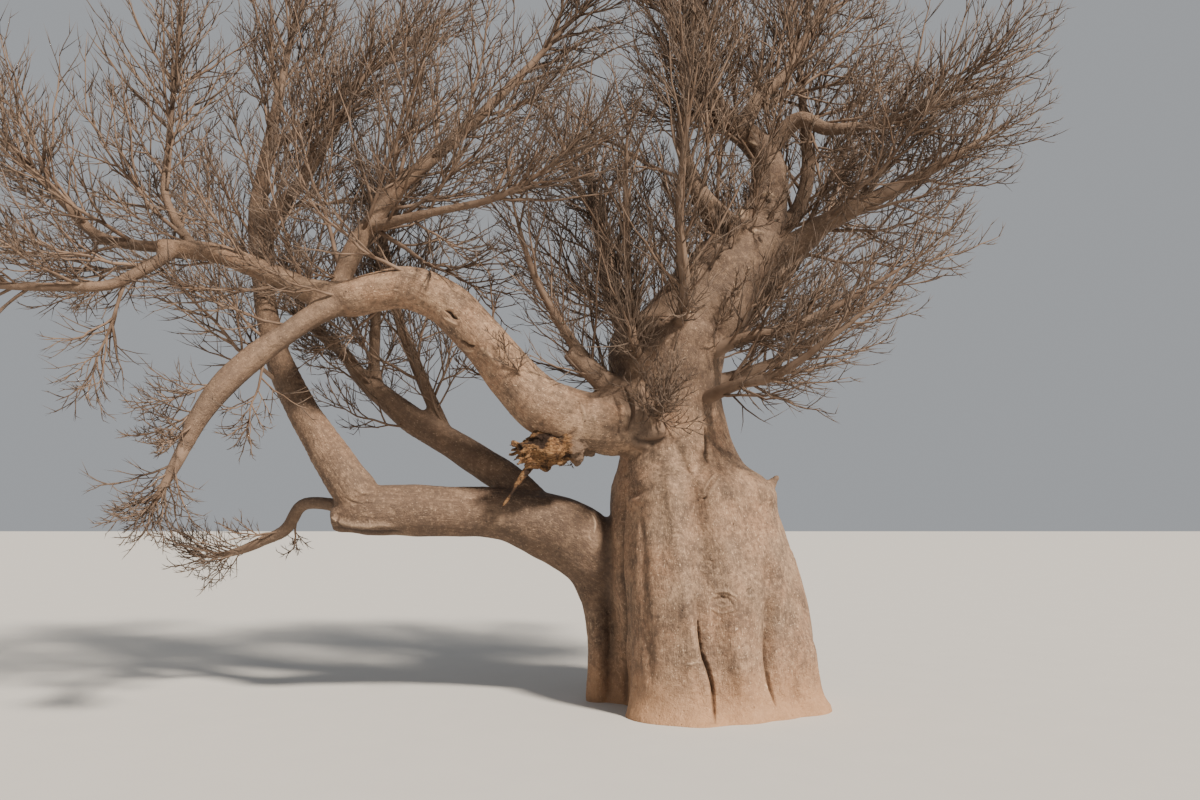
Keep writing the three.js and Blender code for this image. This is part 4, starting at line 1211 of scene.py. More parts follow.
def weathering_and_shade(mesh, limb):
    """How dark the bark of each vertex is made, by weather wear and painted shade, on a scale of 0 to 1."""
    edges, counts = edges_of(mesh)
    heights = points_of(mesh)[:, 2]
    level = np.array([WEATHERED_AND_SHADED.get(name, WEATHERED_AND_SHADED_REST) for name in (*LIMB_LINES, *STEMS)])
    age = np.where(limb < 0, WEATHERED_AND_SHADED_NECK * smoothstep(*NECK, heights), level[limb])[:, None]
    for _ in range(WEATHER_AND_SHADE_ROUNDS):
        age = spread(age, edges, counts, 1.0)
    return age[:, 0]


def relief(grain):
    """How far the bark stands out of its smooth limb at each point."""
    place = grain.place
    lift = sum(
        height * soft_noise(place * (1, 1, stretch), size, salt) for height, stretch, size, salt in RELIEF
    )
    warp = sum(part * soft_noise(place, size, salt) for part, size, salt in FOLD_WARP)
    fold = (0.5 + 0.5 * np.cos(2 * math.pi * (place[:, 2] / FOLD_LENGTH + FOLD_SWAY * warp))) ** 2
    where = smoothstep(*FOLD_SHOWS, soft_noise(place * (1, 1, FOLD_STRETCH), FOLD_PATCH, FOLD_SALT))
    lift = lift + FOLD_HEIGHT * fold * where
    return lift * np.clip(grain.girth / RELIEF_GIRTH, RELIEF_LEAST, 1.0)


# Marks


def sight(u, v):
    """The direction from the camera through a pixel of the photograph."""
    focal = PICTURE[0] * CAMERA_LENS / CAMERA_SENSOR
    right = (u - PICTURE[0] / 2) / focal
    rise = (PICTURE[1] / 2 - v) / focal
    sin, cos = math.sin(CAMERA_PITCH), math.cos(CAMERA_PITCH)
    return Vector((right, cos - rise * sin, sin + rise * cos)).normalized()


def marks_on(mesh):
    """Each mark's depth, width, tint and route, dropped onto the mesh along the viewer's line of sight."""
    faces = [face.tolist() for face in faces_of(mesh)]
    skin = BVHTree.FromPolygons(points_of(mesh).tolist(), faces)
    found = []
    for depth, width, tint, pixels in MARKS:
        way = Line([(u, v, 0.0, 0.0) for u, v in pixels]).point(even_shares(5 * len(pixels)))
        hits = [skin.ray_cast(Vector(CAMERA_PLACE), sight(u, v))[0] for u, v, _ in way]
        route = np.array([hit for hit in hits if hit is not None])
        if len(route) > 1:
            found.append((depth, width, tint, route))
    return found + wild_marks(mesh)


def wild_marks(mesh):
    """Small pits and scars, dealt out all round the tree by the seeded rule."""
    points, normals = points_of(mesh), normals_of(mesh)
    found = []
    for number in range(WILD_MARKS):
        pick, kind, size, curl, width, lean = (
            float(draw[0]) for draw in chances(np.array([number]), WILD_SALT, 6)
        )
        spot = int(pick * len(points))
        place, out = points[spot], normals[spot]
        if place[2] < WILD_HEIGHTS[0] or place[2] > WILD_HEIGHTS[1]:
            continue
        level = unit(np.cross(UP + 1e-6, out))
        rise = np.cross(out, level)
        if kind < PIT_SHARE:
            pit = np.array((place, place + level * PIT_LENGTH))
            found.append((PIT_DEPTH, dealt(PIT_WIDTH, size), PIT_TINT, pit))
            continue
        half = dealt(SCAR_HALF, size)
        bow = dealt(SCAR_BOW, curl) * half
        tilt = SCAR_TILT * (lean - 0.5)
        run = level * math.cos(tilt) + rise * math.sin(tilt)
        over = rise * math.cos(tilt) - level * math.sin(tilt)
        arc = np.array([place + run * half * s + over * bow * (1 - s * s) for s in np.linspace(-1.0, 1.0, 9)])
        found.append((SCAR_DEPTH, dealt(SCAR_WIDTH, width), SCAR_TINT, arc))
        found.append((*SCAR_LIP, arc - over * LIP_DROP))
    return found


def distance_to(route, points):
    """The distance from each point to a route of straight stretches, and how far along it that is."""
    least = np.full(len(points), np.inf)
    along = np.zeros(len(points))
    for step, (start, end) in enumerate(zip(route[:-1], route[1:])):
        run = end - start
        share = np.clip((points - start) @ run / max(run @ run, NEARLY_NOTHING), 0.0, 1.0)
        gap = np.linalg.norm(points - start - share[:, None] * run, axis=1)
        nearer = gap < least
        least[nearer] = gap[nearer]
        along[nearer] = (step + share[nearer]) / (len(route) - 1)
    return least, along


def near_route(route, points, reach):
    """The points within reach of a route's box."""
    inside = np.all((points > route.min(0) - reach) & (points < route.max(0) + reach), axis=1)
    return np.nonzero(inside)[0]


def refine_under(mesh, marks):
    """Halves the mesh twice where a fine mark will be cut."""
    for extra in FINE_MARGINS:
        points = points_of(mesh)
        wanted = np.zeros(len(points), bool)
        for _, width, _, route in marks:
            if width < FINE_WIDTH:
                near = near_route(route, points, NEAR_MARK * width + extra)
                close = distance_to(route, points[near])[0] < UNDER_MARK * width + extra
                wanted[near[close]] = True
        shape = bmesh.new()
        shape.from_mesh(mesh)
        edges = [edge for edge in shape.edges if all(wanted[vertex.index] for vertex in edge.verts)]
        bmesh.ops.subdivide_edges(shape, edges=edges, cuts=1, use_grid_fill=True)
        shape.to_mesh(mesh)
        shape.free()


def cut_marks(mesh, marks):
    """Presses the marks into the skin, and returns how much each vertex is darkened or paled, part of the
    darkening being painted shade.
    """
    points, normals = points_of(mesh), normals_of(mesh)
    move = np.zeros(len(points))
    stain = np.zeros(len(points))
    for depth, width, tint, route in marks:
        near = near_route(route, points, MARK_REACH * width)
        gap, along = distance_to(route, points[near])
        ends = np.abs(2 * along - 1) ** 3
        profile = np.exp(-((gap / (width * (1 - MARK_TAPER * ends))) ** 2)) * (1 - MARK_FADE * ends)
        move[near] += depth * profile
        strong = tint * profile
        stain[near] = np.where(np.abs(strong) > np.abs(stain[near]), strong, stain[near])
    set_points(mesh, points + normals * move[:, None])
    return stain


def cut_flat(mesh):
    """Cuts the skin off flat at the ground and closes it."""
    shape = bmesh.new()
    shape.from_mesh(mesh)
    parts = shape.verts[:] + shape.edges[:] + shape.faces[:]
    bmesh.ops.bisect_plane(shape, geom=parts, plane_co=(0, 0, 0), plane_no=(0, 0, -1), clear_outer=True)
    rim = [edge for edge in shape.edges if edge.is_boundary]
    bmesh.ops.edgeloop_fill(shape, edges=rim)
    shape.to_mesh(mesh)
    shape.free()


def nodes_of(limbs):
    """The solids that limbs stand for."""
    return [node for limb in limbs for node in LIMB_NODES.get(limb, (limb,))]


def regions_of(limb, heights):
    """The number of the piece of skin that each vertex belongs to, in the order of the pieces' names."""
    west = [name in WEST_LIMBS for name in LIMB_LINES]
    west += [name in TIP_MASSES and TIP_MASSES[name][0] in WEST_LIMBS for name in STEMS]
    on_trunk = np.where(heights < FOOT_TOP, 0, 1)
    return np.where(limb < 0, on_trunk, np.where(np.array(west)[limb], 2, 3))


def split_skin(mesh, limb, facts):
    """Copies the skin into one mesh for each of its pieces, keeping the whole skin's normals."""
    points, normals = points_of(mesh), normals_of(mesh)
    rim = points[:, 2] < RIM_HEIGHT
    normals[rim] = unit(normals[rim] * (1, 1, 0) + (0, 0, -RIM_HEIGHT))
    faces = faces_of(mesh)
    region = regions_of(limb, points[:, 2])[[face[0] for face in faces]]
    for number, (name, nodes) in enumerate(BARK_PIECES.items()):
        chosen = [faces[i] for i in np.nonzero(region == number)[0]]
        used = np.unique(np.concatenate(chosen))
        place = np.zeros(len(points), np.int64)
        place[used] = np.arange(len(used))
        sizes = np.array([len(face) for face in chosen])
        alike = [np.nonzero(sizes == size)[0] for size in np.unique(sizes)]
        gathered = Gathered()
        gathered.add(points[used], [np.array([place[chosen[i]] for i in same]) for same in alike])
        piece = gathered.mesh(name)
        piece.normals_split_custom_set_from_vertices(normals[used].tolist())
        for fact, values in facts.items():
            add_attribute(piece, fact, values[used])
        yield piece, nodes


BARK_PIECES = {
    "foot_bark": ["trunk"],
    "neck_bark": ["trunk"],
    "west_bark": nodes_of(WEST_LIMBS),
    "head_bark": nodes_of(HEAD_LIMBS),
}


# Twigs


class Shoots:
    """Many shoots of one order, held side by side in arrays."""

    def __init__(self, root, middle, tip, start, key, size):
        self.fields = (root, middle, tip, start, key, size)
        self.root, self.middle, self.tip, self.start, self.key, self.size = self.fields
        chord = unit(tip - root)
        self.side, self.across = across_of(chord, steady(chord))

    def kept(self, mask):
        return Shoots(*(field[mask] for field in self.fields))

    def point(self, share):
        """Points on the shoots, with a slight wander to and fro; share holds a row for each shoot."""
        root, middle, tip, side, across = (
            field[:, None] for field in (self.root, self.middle, self.tip, self.side, self.across)
        )
        place = bent(root, middle, tip, share[..., None])
        wander = 4 * share * (1 - share) * self.size[:, None] * bpy.context.scene.baobab_twigs.wander
        turns = 2 * math.pi * share
        for direction, (pace, salt) in zip((side, across), WANDER_PACES):
            stray = wander * np.sin(pace * turns + WANDER_START * chance(self.key, salt)[:, None])
            place = place + direction * stray[..., None]
        return place

    def tangent(self, share):
        return slope(self, share, 1e-3)

    def radius(self, share):
        return self.start[:, None] * (1 - SHOOT_TAPER * share)


def shoots_on(
    parent, parent_key, count, length, slenderness, least_radius, stretch=(FIRST_SHARE, 1.0), number=None,
):
    """The shoots on each parent, by the source's rule. parent_key and length hold one value for each."""
    n = (np.arange(count) if number is None else number)[None]
    parent_key = np.asarray(parent_key, np.int64).reshape(-1, 1)
    key = (parent_key * 31 + n + 1) & WORD
    share = stretch[0] + (stretch[1] - stretch[0]) * (n + SHARE_JITTER * chance(key, 1)) / count
    root = parent.point(share)
    along = parent.tangent(share)
    side, across = across_of(along, steady(along))
    turn = GOLDEN_ANGLE * n + TURN_JITTER * chance(key, 2) + 2 * math.pi * chance(parent_key, 7)
    tilt = between(SHOOT_TILT, chance(key, 3)) * (1 - TILT_EASE * share)
    cos, sin = np.cos(turn)[..., None], np.sin(turn)[..., None]
    heading = along * np.cos(tilt)[..., None] + (side * cos + across * sin) * np.sin(tilt)[..., None]
    size = between(SHOOT_SIZE, chance(key, 4))
    size = np.asarray(length, float).reshape(-1, 1) * size * (1 - SIZE_EASE * share)
    sway = np.stack((chance(key, 5) - 0.5, chance(key, 6) - 0.5, np.zeros(key.shape)), axis=-1)
    middle = root + heading * size[..., None] / 2
    tip = root + (heading + UP * SHOOT_LIFT + sway * SHOOT_SWAY) * size[..., None]
    widest = np.maximum(SHOOT_TO_PARENT * parent.radius(share), least_radius)
    radius = np.clip(size / slenderness, least_radius, widest)
    flat = (place.reshape(-1, 3) for place in (root, middle, tip))
    return Shoots(*flat, radius.ravel(), key.ravel(), size.ravel())


def boughs_on(line, key, count, length, stretch):
    """Side boughs round a limb, each from just under its bark."""
    boughs = shoots_on(line, [key], count, [length], SIDE_SLENDERNESS, SIDE_LEAST_RADIUS, stretch)
    share = even_shares(200)
    axis, along = line.point(share), line.tangent(share)
    near = np.linalg.norm(boughs.root[:, None] - axis[None], axis=-1).argmin(1)
    heading = boughs.middle - boughs.root
    outward = unit(heading - along[near] * dot(heading, along[near])[:, None])
    shift = outward * (BOUGH_ROOT * line.radius(share)[near])[:, None]
    root, middle, tip, *rest = boughs.fields
    return Shoots(root + shift, middle + shift, tip + shift, *rest)


class Room:
    """What the twigs have to keep clear of."""

    def __init__(self):
        share = even_shares(90)
        self.centre = np.concatenate([line.point(share) for line in LIMB_LINES.values()])
        self.radius = np.concatenate([line.radius(share) for line in LIMB_LINES.values()])
        self.whole = tuple(np.array(corner) for corner in CAD_BOX)

    def clear(self, points):
        """True where a point is above the ground margin, inside the crown's box and clear of every limb."""
        low, high = self.whole
        height = points[..., 2]
        inside = np.all((points > low) & (points < high), axis=-1) & (height > GROUND_MARGIN)
        lean, outer = trunk_at(height)
        across = np.hypot(points[..., 0] - lean, points[..., 1])
        inside &= (across > outer + LIMB_MARGIN) | (height > TRUNK_TOP + LIMB_MARGIN)
        flat = points.reshape(-1, 3)
        free = np.empty(len(flat), bool)
        for start in range(0, len(flat), POINTS_AT_ONCE):
            part = flat[start:start + POINTS_AT_ONCE]
            gap = np.linalg.norm(part[:, None] - self.centre[None], axis=-1) - self.radius
            free[start:start + POINTS_AT_ONCE] = gap.min(1) > LIMB_MARGIN
        return inside & free.reshape(inside.shape)


def with_room(shoots, room, box, tested=(0.25, 0.5, 0.75, 1.0)):
    """Only the shoots that keep clear of the limbs and stay within their mass's reach."""
    points = shoots.point(np.tile(np.array(tested), (len(shoots.key), 1)))
    inside = np.all((points > box[0]) & (points < box[1]), axis=(1, 2))
    return shoots.kept(inside & np.all(room.clear(points), axis=1))


def add_shoots(gathered, shoots, sides, steps, finish, tip_radius):
    """Adds one tapering, closed tube for each shoot."""
    number = len(shoots.key)
    if number == 0:
        return
    share = np.tile(even_shares(steps + 1), (number, 1))
    centre = shoots.point(share)
    along = unit(np.gradient(centre, axis=1))
    side = unit(np.cross(along, shoots.across[:, None]))
    across = np.cross(along, side)
    girth = tip_radius + (shoots.start[:, None] - tip_radius) * (1 - share) ** GIRTH_POWER
    turn = turns_round(sides)[:, None]
    outward = side[:, :-1, None] * np.cos(turn) + across[:, :-1, None] * np.sin(turn)
    ring = centre[:, :-1, None] + outward * girth[:, :-1, None, None]
    points = np.concatenate((ring.reshape(number, -1, 3), centre[:, -1:]), axis=1)
    start = np.arange(sides)
    last = (steps - 1) * sides
    point = np.stack((start + last, (start + 1) % sides + last, np.full(sides, steps * sides)), axis=-1)
    base = (np.arange(number) * (steps * sides + 1))[:, None, None]
    faces = [point[None] + base, start[::-1][None, None] + base]
    if steps > 1:
        faces.insert(0, wall_faces(sides, steps - 1).reshape(1, -1, 4) + base)
    gathered.add(points, faces, finish)


def every(stride, count, whole):
    """Which of a whole number of shoots grow: a few of them, spread over all by a stride."""
    return np.arange(count) * stride % whole


def grow(gathered, firsts, room, box, settings, chosen, share):
    """Adds first shoots and two finer orders on them. share is the length of the second ones to the first."""
    firsts = with_room(firsts, room, box)
    add_shoots(gathered, firsts, sides=4, steps=7, finish=STEM_BARK, tip_radius=settings.tip)
    length = firsts.size * share
    seconds = shoots_on(
        firsts, firsts.key, SHOOTS_ON_SHOOT, length, SECOND_SLENDERNESS, SECOND_LEAST_RADIUS, number=chosen,
    )
    seconds = with_room(seconds, room, box)
    add_shoots(gathered, seconds, sides=3, steps=3, finish=TWIG_BARK, tip_radius=settings.tip)
    length = seconds.size * FINE_SHARE
    thirds = shoots_on(seconds, seconds.key, settings.thirds, length, FINE_SLENDERNESS, THIRD_LEAST_RADIUS)
    thirds = with_room(thirds, room, box)
    for chosen, steps in ((thirds.size > LONG_THIRD, 2), (thirds.size <= LONG_THIRD, 1)):
        finest = thirds.kept(chosen)
        add_shoots(gathered, finest, sides=3, steps=steps, finish=TWIG_BARK, tip_radius=settings.tip)


def add_stem(gathered, stem):
    """Adds a mass's stem, from a little way inside its limb to a thin tip."""
    share = np.concatenate(([0.0], even_shares(STEM_STEPS)))
    place = stem.point(share)
    centre = place.copy()
    centre[0] -= stem.tangent(START)[0] * STEM_SUNK
    along = unit(np.gradient(centre, axis=0))
    radius = stem.radius(share) * (1 - 0.85 * share**7) * (1 + 0.05 * np.sin(9 * share + 5 * place[:, 0]))
    gathered.add_tube(centre[:, None] + out_of(centre, along, STEM_SIDES) * radius[:, None, None])


# Shader nodes


class Value:
    """A shader socket that can be used in plain arithmetic."""

    def __init__(self, nodes, socket):
        self.nodes = nodes
        self.socket = socket

    def _math(self, operation, *inputs):
        node = self.nodes.add("ShaderNodeMath", {"operation": operation}, dict(enumerate(inputs)))
        return Value(self.nodes, node.outputs[0])

    def __add__(self, other):
        return self._math("ADD", self, other)

    def __radd__(self, other):
        return self._math("ADD", other, self)

    def __sub__(self, other):
        return self._math("SUBTRACT", self, other)

    def __rsub__(self, other):
        return self._math("SUBTRACT", other, self)

    def __mul__(self, other):
        return self._math("MULTIPLY", self, other)

    def __rmul__(self, other):
        return self._math("MULTIPLY", other, self)

    def clamped(self):
        """The value, held between 0 and 1."""
        return self._math("MINIMUM", self._math("MAXIMUM", self, 0.0), 1.0)


class Nodes:
    """The node tree of one new material."""

    def __init__(self, name):
        self.material = bpy.data.materials.new(name)
        self.material.use_nodes = True
        self.tree = self.material.node_tree
        self.shader = self.tree.nodes["Principled BSDF"]

    def add(self, kind, settings=None, inputs=None):
        """A node of a type, with its settings, and its inputs set to values or linked."""
        node = self.tree.nodes.new(kind)
        for name, value in (settings or {}).items():
            if name == "stops":
                self._set_stops(node.color_ramp, value)
            else:
                setattr(node, name, value)
        for name, value in (inputs or {}).items():
            self.feed(node.inputs[name], value)
        return node

    def feed(self, socket, value):
        """Sets a socket, or links it where the value comes from a node."""
        if isinstance(value, Value):
            self.tree.links.new(value.socket, socket)
        elif isinstance(value, bpy.types.NodeSocket):
            self.tree.links.new(value, socket)
        else:
            socket.default_value = value

    @staticmethod
    def _set_stops(ramp, stops):
        while len(ramp.elements) < len(stops):
            ramp.elements.new(0.5)
        for element, (place, level) in zip(ramp.elements, stops):
            element.position = place
            element.color = (level, level, level, 1.0)

    def place(self):
        """Where a point lies in the tree's own frame, in metres."""
        return self.add("ShaderNodeTexCoord").outputs["Object"]

    def fact(self, name):
        """A number that the mesh holds for each of its vertices."""
        return Value(self, self.add("ShaderNodeAttribute", {"attribute_name": name}).outputs["Fac"])

    def noise(self, vector, scale, detail=3.0, roughness=0.55):
        """Noise from 0 to 1, with scale lumps to the metre."""
        inputs = {"Vector": vector, "Scale": scale, "Detail": detail, "Roughness": roughness}
        return Value(self, self.add("ShaderNodeTexNoise", {}, inputs).outputs[0])

    def ramp(self, value, *stops):
        """A value bent by stops of place and level."""
        node = self.add("ShaderNodeValToRGB", {"stops": stops}, {"Fac": value})
        return Value(self, node.outputs["Color"])

    def stretched(self, vector, scale):
        """A vector times a scale of its own for each axis."""
        node = self.add("ShaderNodeVectorMath", {"operation": "MULTIPLY"}, {0: vector, 1: scale})
        return node.outputs["Vector"]

    def layered(self, colour, layers):
        """A colour with others laid over it in order, each as far as its own mask says."""
        for mask, over in layers:
            inputs = {0: mask, 6: colour, 7: opaque(over)}
            colour = self.add("ShaderNodeMix", {"data_type": "RGBA"}, inputs).outputs[2]
        return colour

    def finish(self, colour, roughness, height, strength, distance):
        """Feeds the shader, with a height as its bump, and returns the material."""
        bump = self.add("ShaderNodeBump", {}, {"Height": height, "Strength": strength, "Distance": distance})
        self.feed(self.shader.inputs["Base Color"], colour)
        self.feed(self.shader.inputs["Roughness"], roughness)
        self.feed(self.shader.inputs["Normal"], bump.outputs["Normal"])
        self.shader.inputs["Specular IOR Level"].default_value = SPECULAR
        return self.material


def opaque(colour):
    return (*colour, 1.0)


def bark_material(settings):
    """Smooth pinkish grey bark with streaks along the limb, weather-worn patches, flecks, pits and dust, and
    painted shade on the shaded limbs, the neck and in some marks.
    """
    nodes = Nodes("bark")
    grain = nodes.add("ShaderNodeAttribute", {"attribute_name": "grain"}).outputs["Vector"]
    stain, age = nodes.fact("stain"), nodes.fact("age")
    calm = 1.0 - nodes.fact("meeting")
    place = nodes.place()
    along = nodes.stretched(grain, (1.0, 1.0, 0.16))
    streaks = nodes.noise(along, 30.0, 4.0, 0.65)
    fine_streaks = nodes.noise(along, 85.0, 3.0, 0.6)
    flecks = nodes.noise(nodes.stretched(grain, (1.0, 1.0, 0.45)), 62.0, 2.0, 0.6)
    patches = nodes.noise(place, 1.4, 3.0)
    clouds = nodes.noise(place, 4.6, 5.0, 0.65)
    mottle = nodes.noise(place, 17.0, 5.0, 0.7)
    speckle = nodes.noise(place, 70.0, 3.0, 0.7)
    blotches = nodes.noise(place, 2.6, 6.0, 0.6)
    cells = nodes.add("ShaderNodeTexVoronoi", {}, {"Vector": place, "Scale": 7.0, "Randomness": 1.0})
    pitted = nodes.ramp(nodes.noise(place, 2.2), (0.48, 0.0), (0.58, 1.0))
    pits = nodes.ramp(cells.outputs["Distance"], (0.05, 1.0), (0.09, 0.0)) * pitted
    dusty = nodes.ramp(nodes.fact("height") + clouds * 0.5, (0.18, 0.80), (0.95, 0.0))
    colour = nodes.layered(opaque(settings.grey), (
        (nodes.ramp(patches, (0.38, 0.0), (0.62, 1.0)), settings.tan),
        # painted shade on the shaded limbs and the neck, mixed with weather wear
        (age * 0.75, settings.weathered_and_shade),
        (nodes.ramp(blotches, (0.50, 0.0), (0.66, 0.75)), settings.weathered_and_shade),
        (nodes.ramp(blotches, (0.32, 0.55), (0.45, 0.0)), settings.pale),
        (nodes.ramp(clouds, (0.50, 0.0), (0.66, 0.55)), settings.weathered_and_shade),
        (nodes.ramp(mottle, (0.50, 0.0), (0.65, 0.65)), settings.weathered_and_shade),
        (nodes.ramp(mottle, (0.34, 0.6), (0.47, 0.0)), settings.pale),
        (nodes.ramp(streaks, (0.54, 0.0), (0.72, 0.55)) * calm, settings.pale),
        (nodes.ramp(streaks, (0.28, 0.50), (0.44, 0.0)) * calm, settings.weathered_and_shade),
        (nodes.ramp(fine_streaks, (0.58, 0.0), (0.76, 0.4)) * calm, settings.pale),
        (nodes.ramp(speckle, (0.30, 0.7), (0.42, 0.0)), settings.weathered_and_shade),
        (nodes.ramp(flecks, (0.64, 0.0), (0.70, 0.8)) * calm, settings.chip),
        # more of the same painted shade and weather wear
        (age * 0.45, settings.weathered_and_shade),
        (pits * 0.8, settings.hollow),
        (dusty, settings.dust),
        (nodes.ramp(nodes.fact("girth"), (0.04, 0.75), (0.24, 0.0)), settings.thin),
        # the marks' stains, with the painted shade of the grooves, the flank, the creases and the undersides
        (stain.clamped(), settings.hollow),
        ((stain * -1.0).clamped(), settings.chip),
    ))
    height = (streaks * 0.9 + fine_streaks * 0.4) * calm + speckle * 0.5 + mottle * 1.6 + clouds * 1.8
    return nodes.finish(colour, 0.60 + streaks * 0.30, height - pits * 0.9, strength=0.9, distance=0.016)


def twig_material(name, base, shade, strength):
    """Bark of the stems and twigs: one colour with soft patches and fine roughness."""
    nodes = Nodes(name)
    place = nodes.place()
    patches = nodes.noise(place, 2.4, 3.0)
    grain = nodes.noise(place, 38.0, 3.0, 0.6)
    colour = nodes.layered(opaque(base), ((nodes.ramp(patches, (0.35, 0.0), (0.68, 1.0)), shade),))
    return nodes.finish(colour, 0.70 + grain * 0.2, grain, strength, distance=0.006)


def torn_material(settings):
    """Torn heartwood: brown to tan fibres, dark hollows of rot and painted shade, and weather-worn bark round
    its root.
    """
    nodes = Nodes("torn_wood")
    place = nodes.place()
    fibres = nodes.noise(nodes.stretched(place, (0.22, 1.0, 1.2)), 46.0, 4.0, 0.7)
    crumbs = nodes.noise(place, 30.0, 3.0, 0.7)
    rot = nodes.noise(place, 7.0, 4.0, 0.65)
    colour = nodes.layered(opaque(settings.wood), (
        (nodes.ramp(fibres, (0.42, 0.0), (0.70, 1.0)), settings.pale_wood),
        (nodes.ramp(rot, (0.30, 0.8), (0.45, 0.0)), settings.grey_wood),
        (nodes.ramp(crumbs, (0.34, 0.9), (0.48, 0.0)), settings.rot),
        (nodes.ramp(rot, (0.52, 0.0), (0.64, 0.85)), settings.rot),
        # painted shade in the dips of the torn wood, in the colour of rot
        ((nodes.fact("hollow") * 1.6).clamped(), settings.rot),
        (nodes.ramp(nodes.fact("root") + (rot - 0.5) * 1.2, (0.35, 0.0), (0.65, 1.0)), settings.bark),
    ))
    height = fibres + rot * 1.2 + crumbs * 0.8
    return nodes.finish(colour, 0.78 + fibres * 0.15, height, strength=1.0, distance=0.03)


def floor_material(tint):
    """A pale floor with the faintest clouds."""
    nodes = Nodes("floor")
    cloud = nodes.noise(nodes.place(), 1.5)
    colour = nodes.layered(opaque(tint), ((cloud, [FLOOR_SHADE * level for level in tint]),))
    return nodes.finish(colour, 0.85 + cloud * 0.1, cloud, strength=0.05, distance=0.01)


# Sizes and colours that a user would change


def colour_setting(name, description, default):
    return FloatVectorProperty(
        name=name, description=description, subtype="COLOR", default=default, min=0.0, max=1.0,
    )


def length_setting(name, description, default, least, most):
    return FloatProperty(
        name=name, description=description, subtype="DISTANCE", unit="LENGTH",
        default=default, min=least, max=most,
    )


def angle_setting(name, description, degrees):
    return FloatProperty(
        name=name, description=description, subtype="ANGLE", unit="ROTATION", default=math.radians(degrees),
    )


def strength_setting(name, description, default):
    return FloatProperty(name=name, description=description, default=default, min=0.0)


def count_setting(name, description, default, most):
    return IntProperty(name=name, description=description, default=default, min=0, max=most)


class BarkSettings(bpy.types.PropertyGroup):
    """Sizes and colours of the bark."""

    voxel: length_setting("Skin grid", "Size of the faces that the skin is made of", 0.035, 0.01, 0.1)
    smoothing: count_setting("Smoothing", "Rounds that take the steps out of the skin", 5, 30)
    fillet: count_setting("Fillet", "Rounds that fill the creases where limbs meet", 26, 80)
    grey: colour_setting("Grey bark", "Colour of the cooler patches", (0.245, 0.165, 0.112))
    tan: colour_setting("Tan bark", "Colour of the pinker patches", (0.325, 0.192, 0.118))
    pale: colour_setting("Pale streaks", "Colour of the light streaks and flecks", (0.47, 0.315, 0.205))
    # also the colour of the painted shade on the shaded limbs and the neck
    weathered_and_shade: colour_setting("Weathered bark", "Colour of the dark streaks", (0.105, 0.069, 0.050))
    # also the colour of the painted shade that the marks lay in grooves, creases, undersides and on the flank
    hollow: colour_setting("Hollows", "Colour of holes, pits and cracks", (0.055, 0.038, 0.03))
    chip: colour_setting("Chips", "Colour of scars and lips where the bark is rubbed", (0.66, 0.48, 0.33))
    thin: colour_setting("Thin limbs", "Colour of the bark on thin limbs", (0.19, 0.128, 0.090))
    dust: colour_setting("Dust", "Colour of the dust on the foot", (0.50, 0.275, 0.145))


class WoodSettings(bpy.types.PropertyGroup):
    """Sizes and colours of the torn stub."""

    grid: length_setting("Wood grid", "Size of the faces that the torn wood is made of", 0.015, 0.006, 0.05)
    splinters: count_setting("Splinters", "How many splinters stand out of the torn end", 46, 400)
    lumps: count_setting("Lumps", "How many lumps of wood crumble out of it", 80, 400)
    wood: colour_setting("Wood", "Colour of the torn wood", (0.19, 0.088, 0.036))
    pale_wood: colour_setting("Fresh wood", "Colour of the palest fibres", (0.42, 0.255, 0.125))
    # also the colour of the painted shade in the dips of the torn wood
    rot: colour_setting("Rot", "Colour of the brown hollows", (0.035, 0.019, 0.012))
    bark: colour_setting("Bark", "Colour of the bark left round its root", (0.20, 0.135, 0.095))
    grey_wood: colour_setting("Weathered wood", "Colour of the greyed fibres", (0.11, 0.064, 0.042))


class TwigSettings(bpy.types.PropertyGroup):
    """Sizes and colours of the crown."""

    thirds: count_setting("Third shoots", "Shoots on each second shoot", 2, 9)
    wander: FloatProperty(
        name="Wander", description="How far a shoot strays to and fro, as a share of its length",
        default=0.013, min=0.0, max=0.1, subtype="FACTOR",
    )
    tip: length_setting("Tip radius", "Radius of the finest tips", 0.004, 0.001, 0.01)
    stem_light: colour_setting("Stem bark", "Colour of the stems", (0.235, 0.163, 0.118))
    stem_dark: colour_setting("Stem shade", "Colour of the darker stems", (0.13, 0.082, 0.055))
    twig_light: colour_setting("Twig bark", "Colour of the twigs", (0.185, 0.134, 0.102))
    twig_dark: colour_setting("Twig shade", "Colour of the darker twigs", (0.080, 0.056, 0.043))


class StageSettings(bpy.types.PropertyGroup):
    """The floor and the light."""

    floor_size: length_setting("Floor", "Side of the floor", 400.0, 20.0, 1000.0)
    floor_colour: colour_setting("Floor colour", "Colour of the floor", (0.56, 0.545, 0.52))
    sky_colour: colour_setting("Sky colour", "Colour of the light from all round", (0.80, 0.83, 0.87))
    sky_strength: strength_setting("Sky strength", "Strength of the light from all round", 0.46)
    key_colour: colour_setting("Key colour", "Colour of the main light", (1.0, 0.90, 0.77))
    key_strength: strength_setting("Key strength", "Strength of the main light", 7.8)
    key_side: angle_setting("Key side", "How far to the right the main light stands", 42)
    key_height: angle_setting("Key height", "How high the main light stands", 42)
    key_softness: angle_setting("Key softness", "How wide the main light looks from the tree", 7)


# Operators


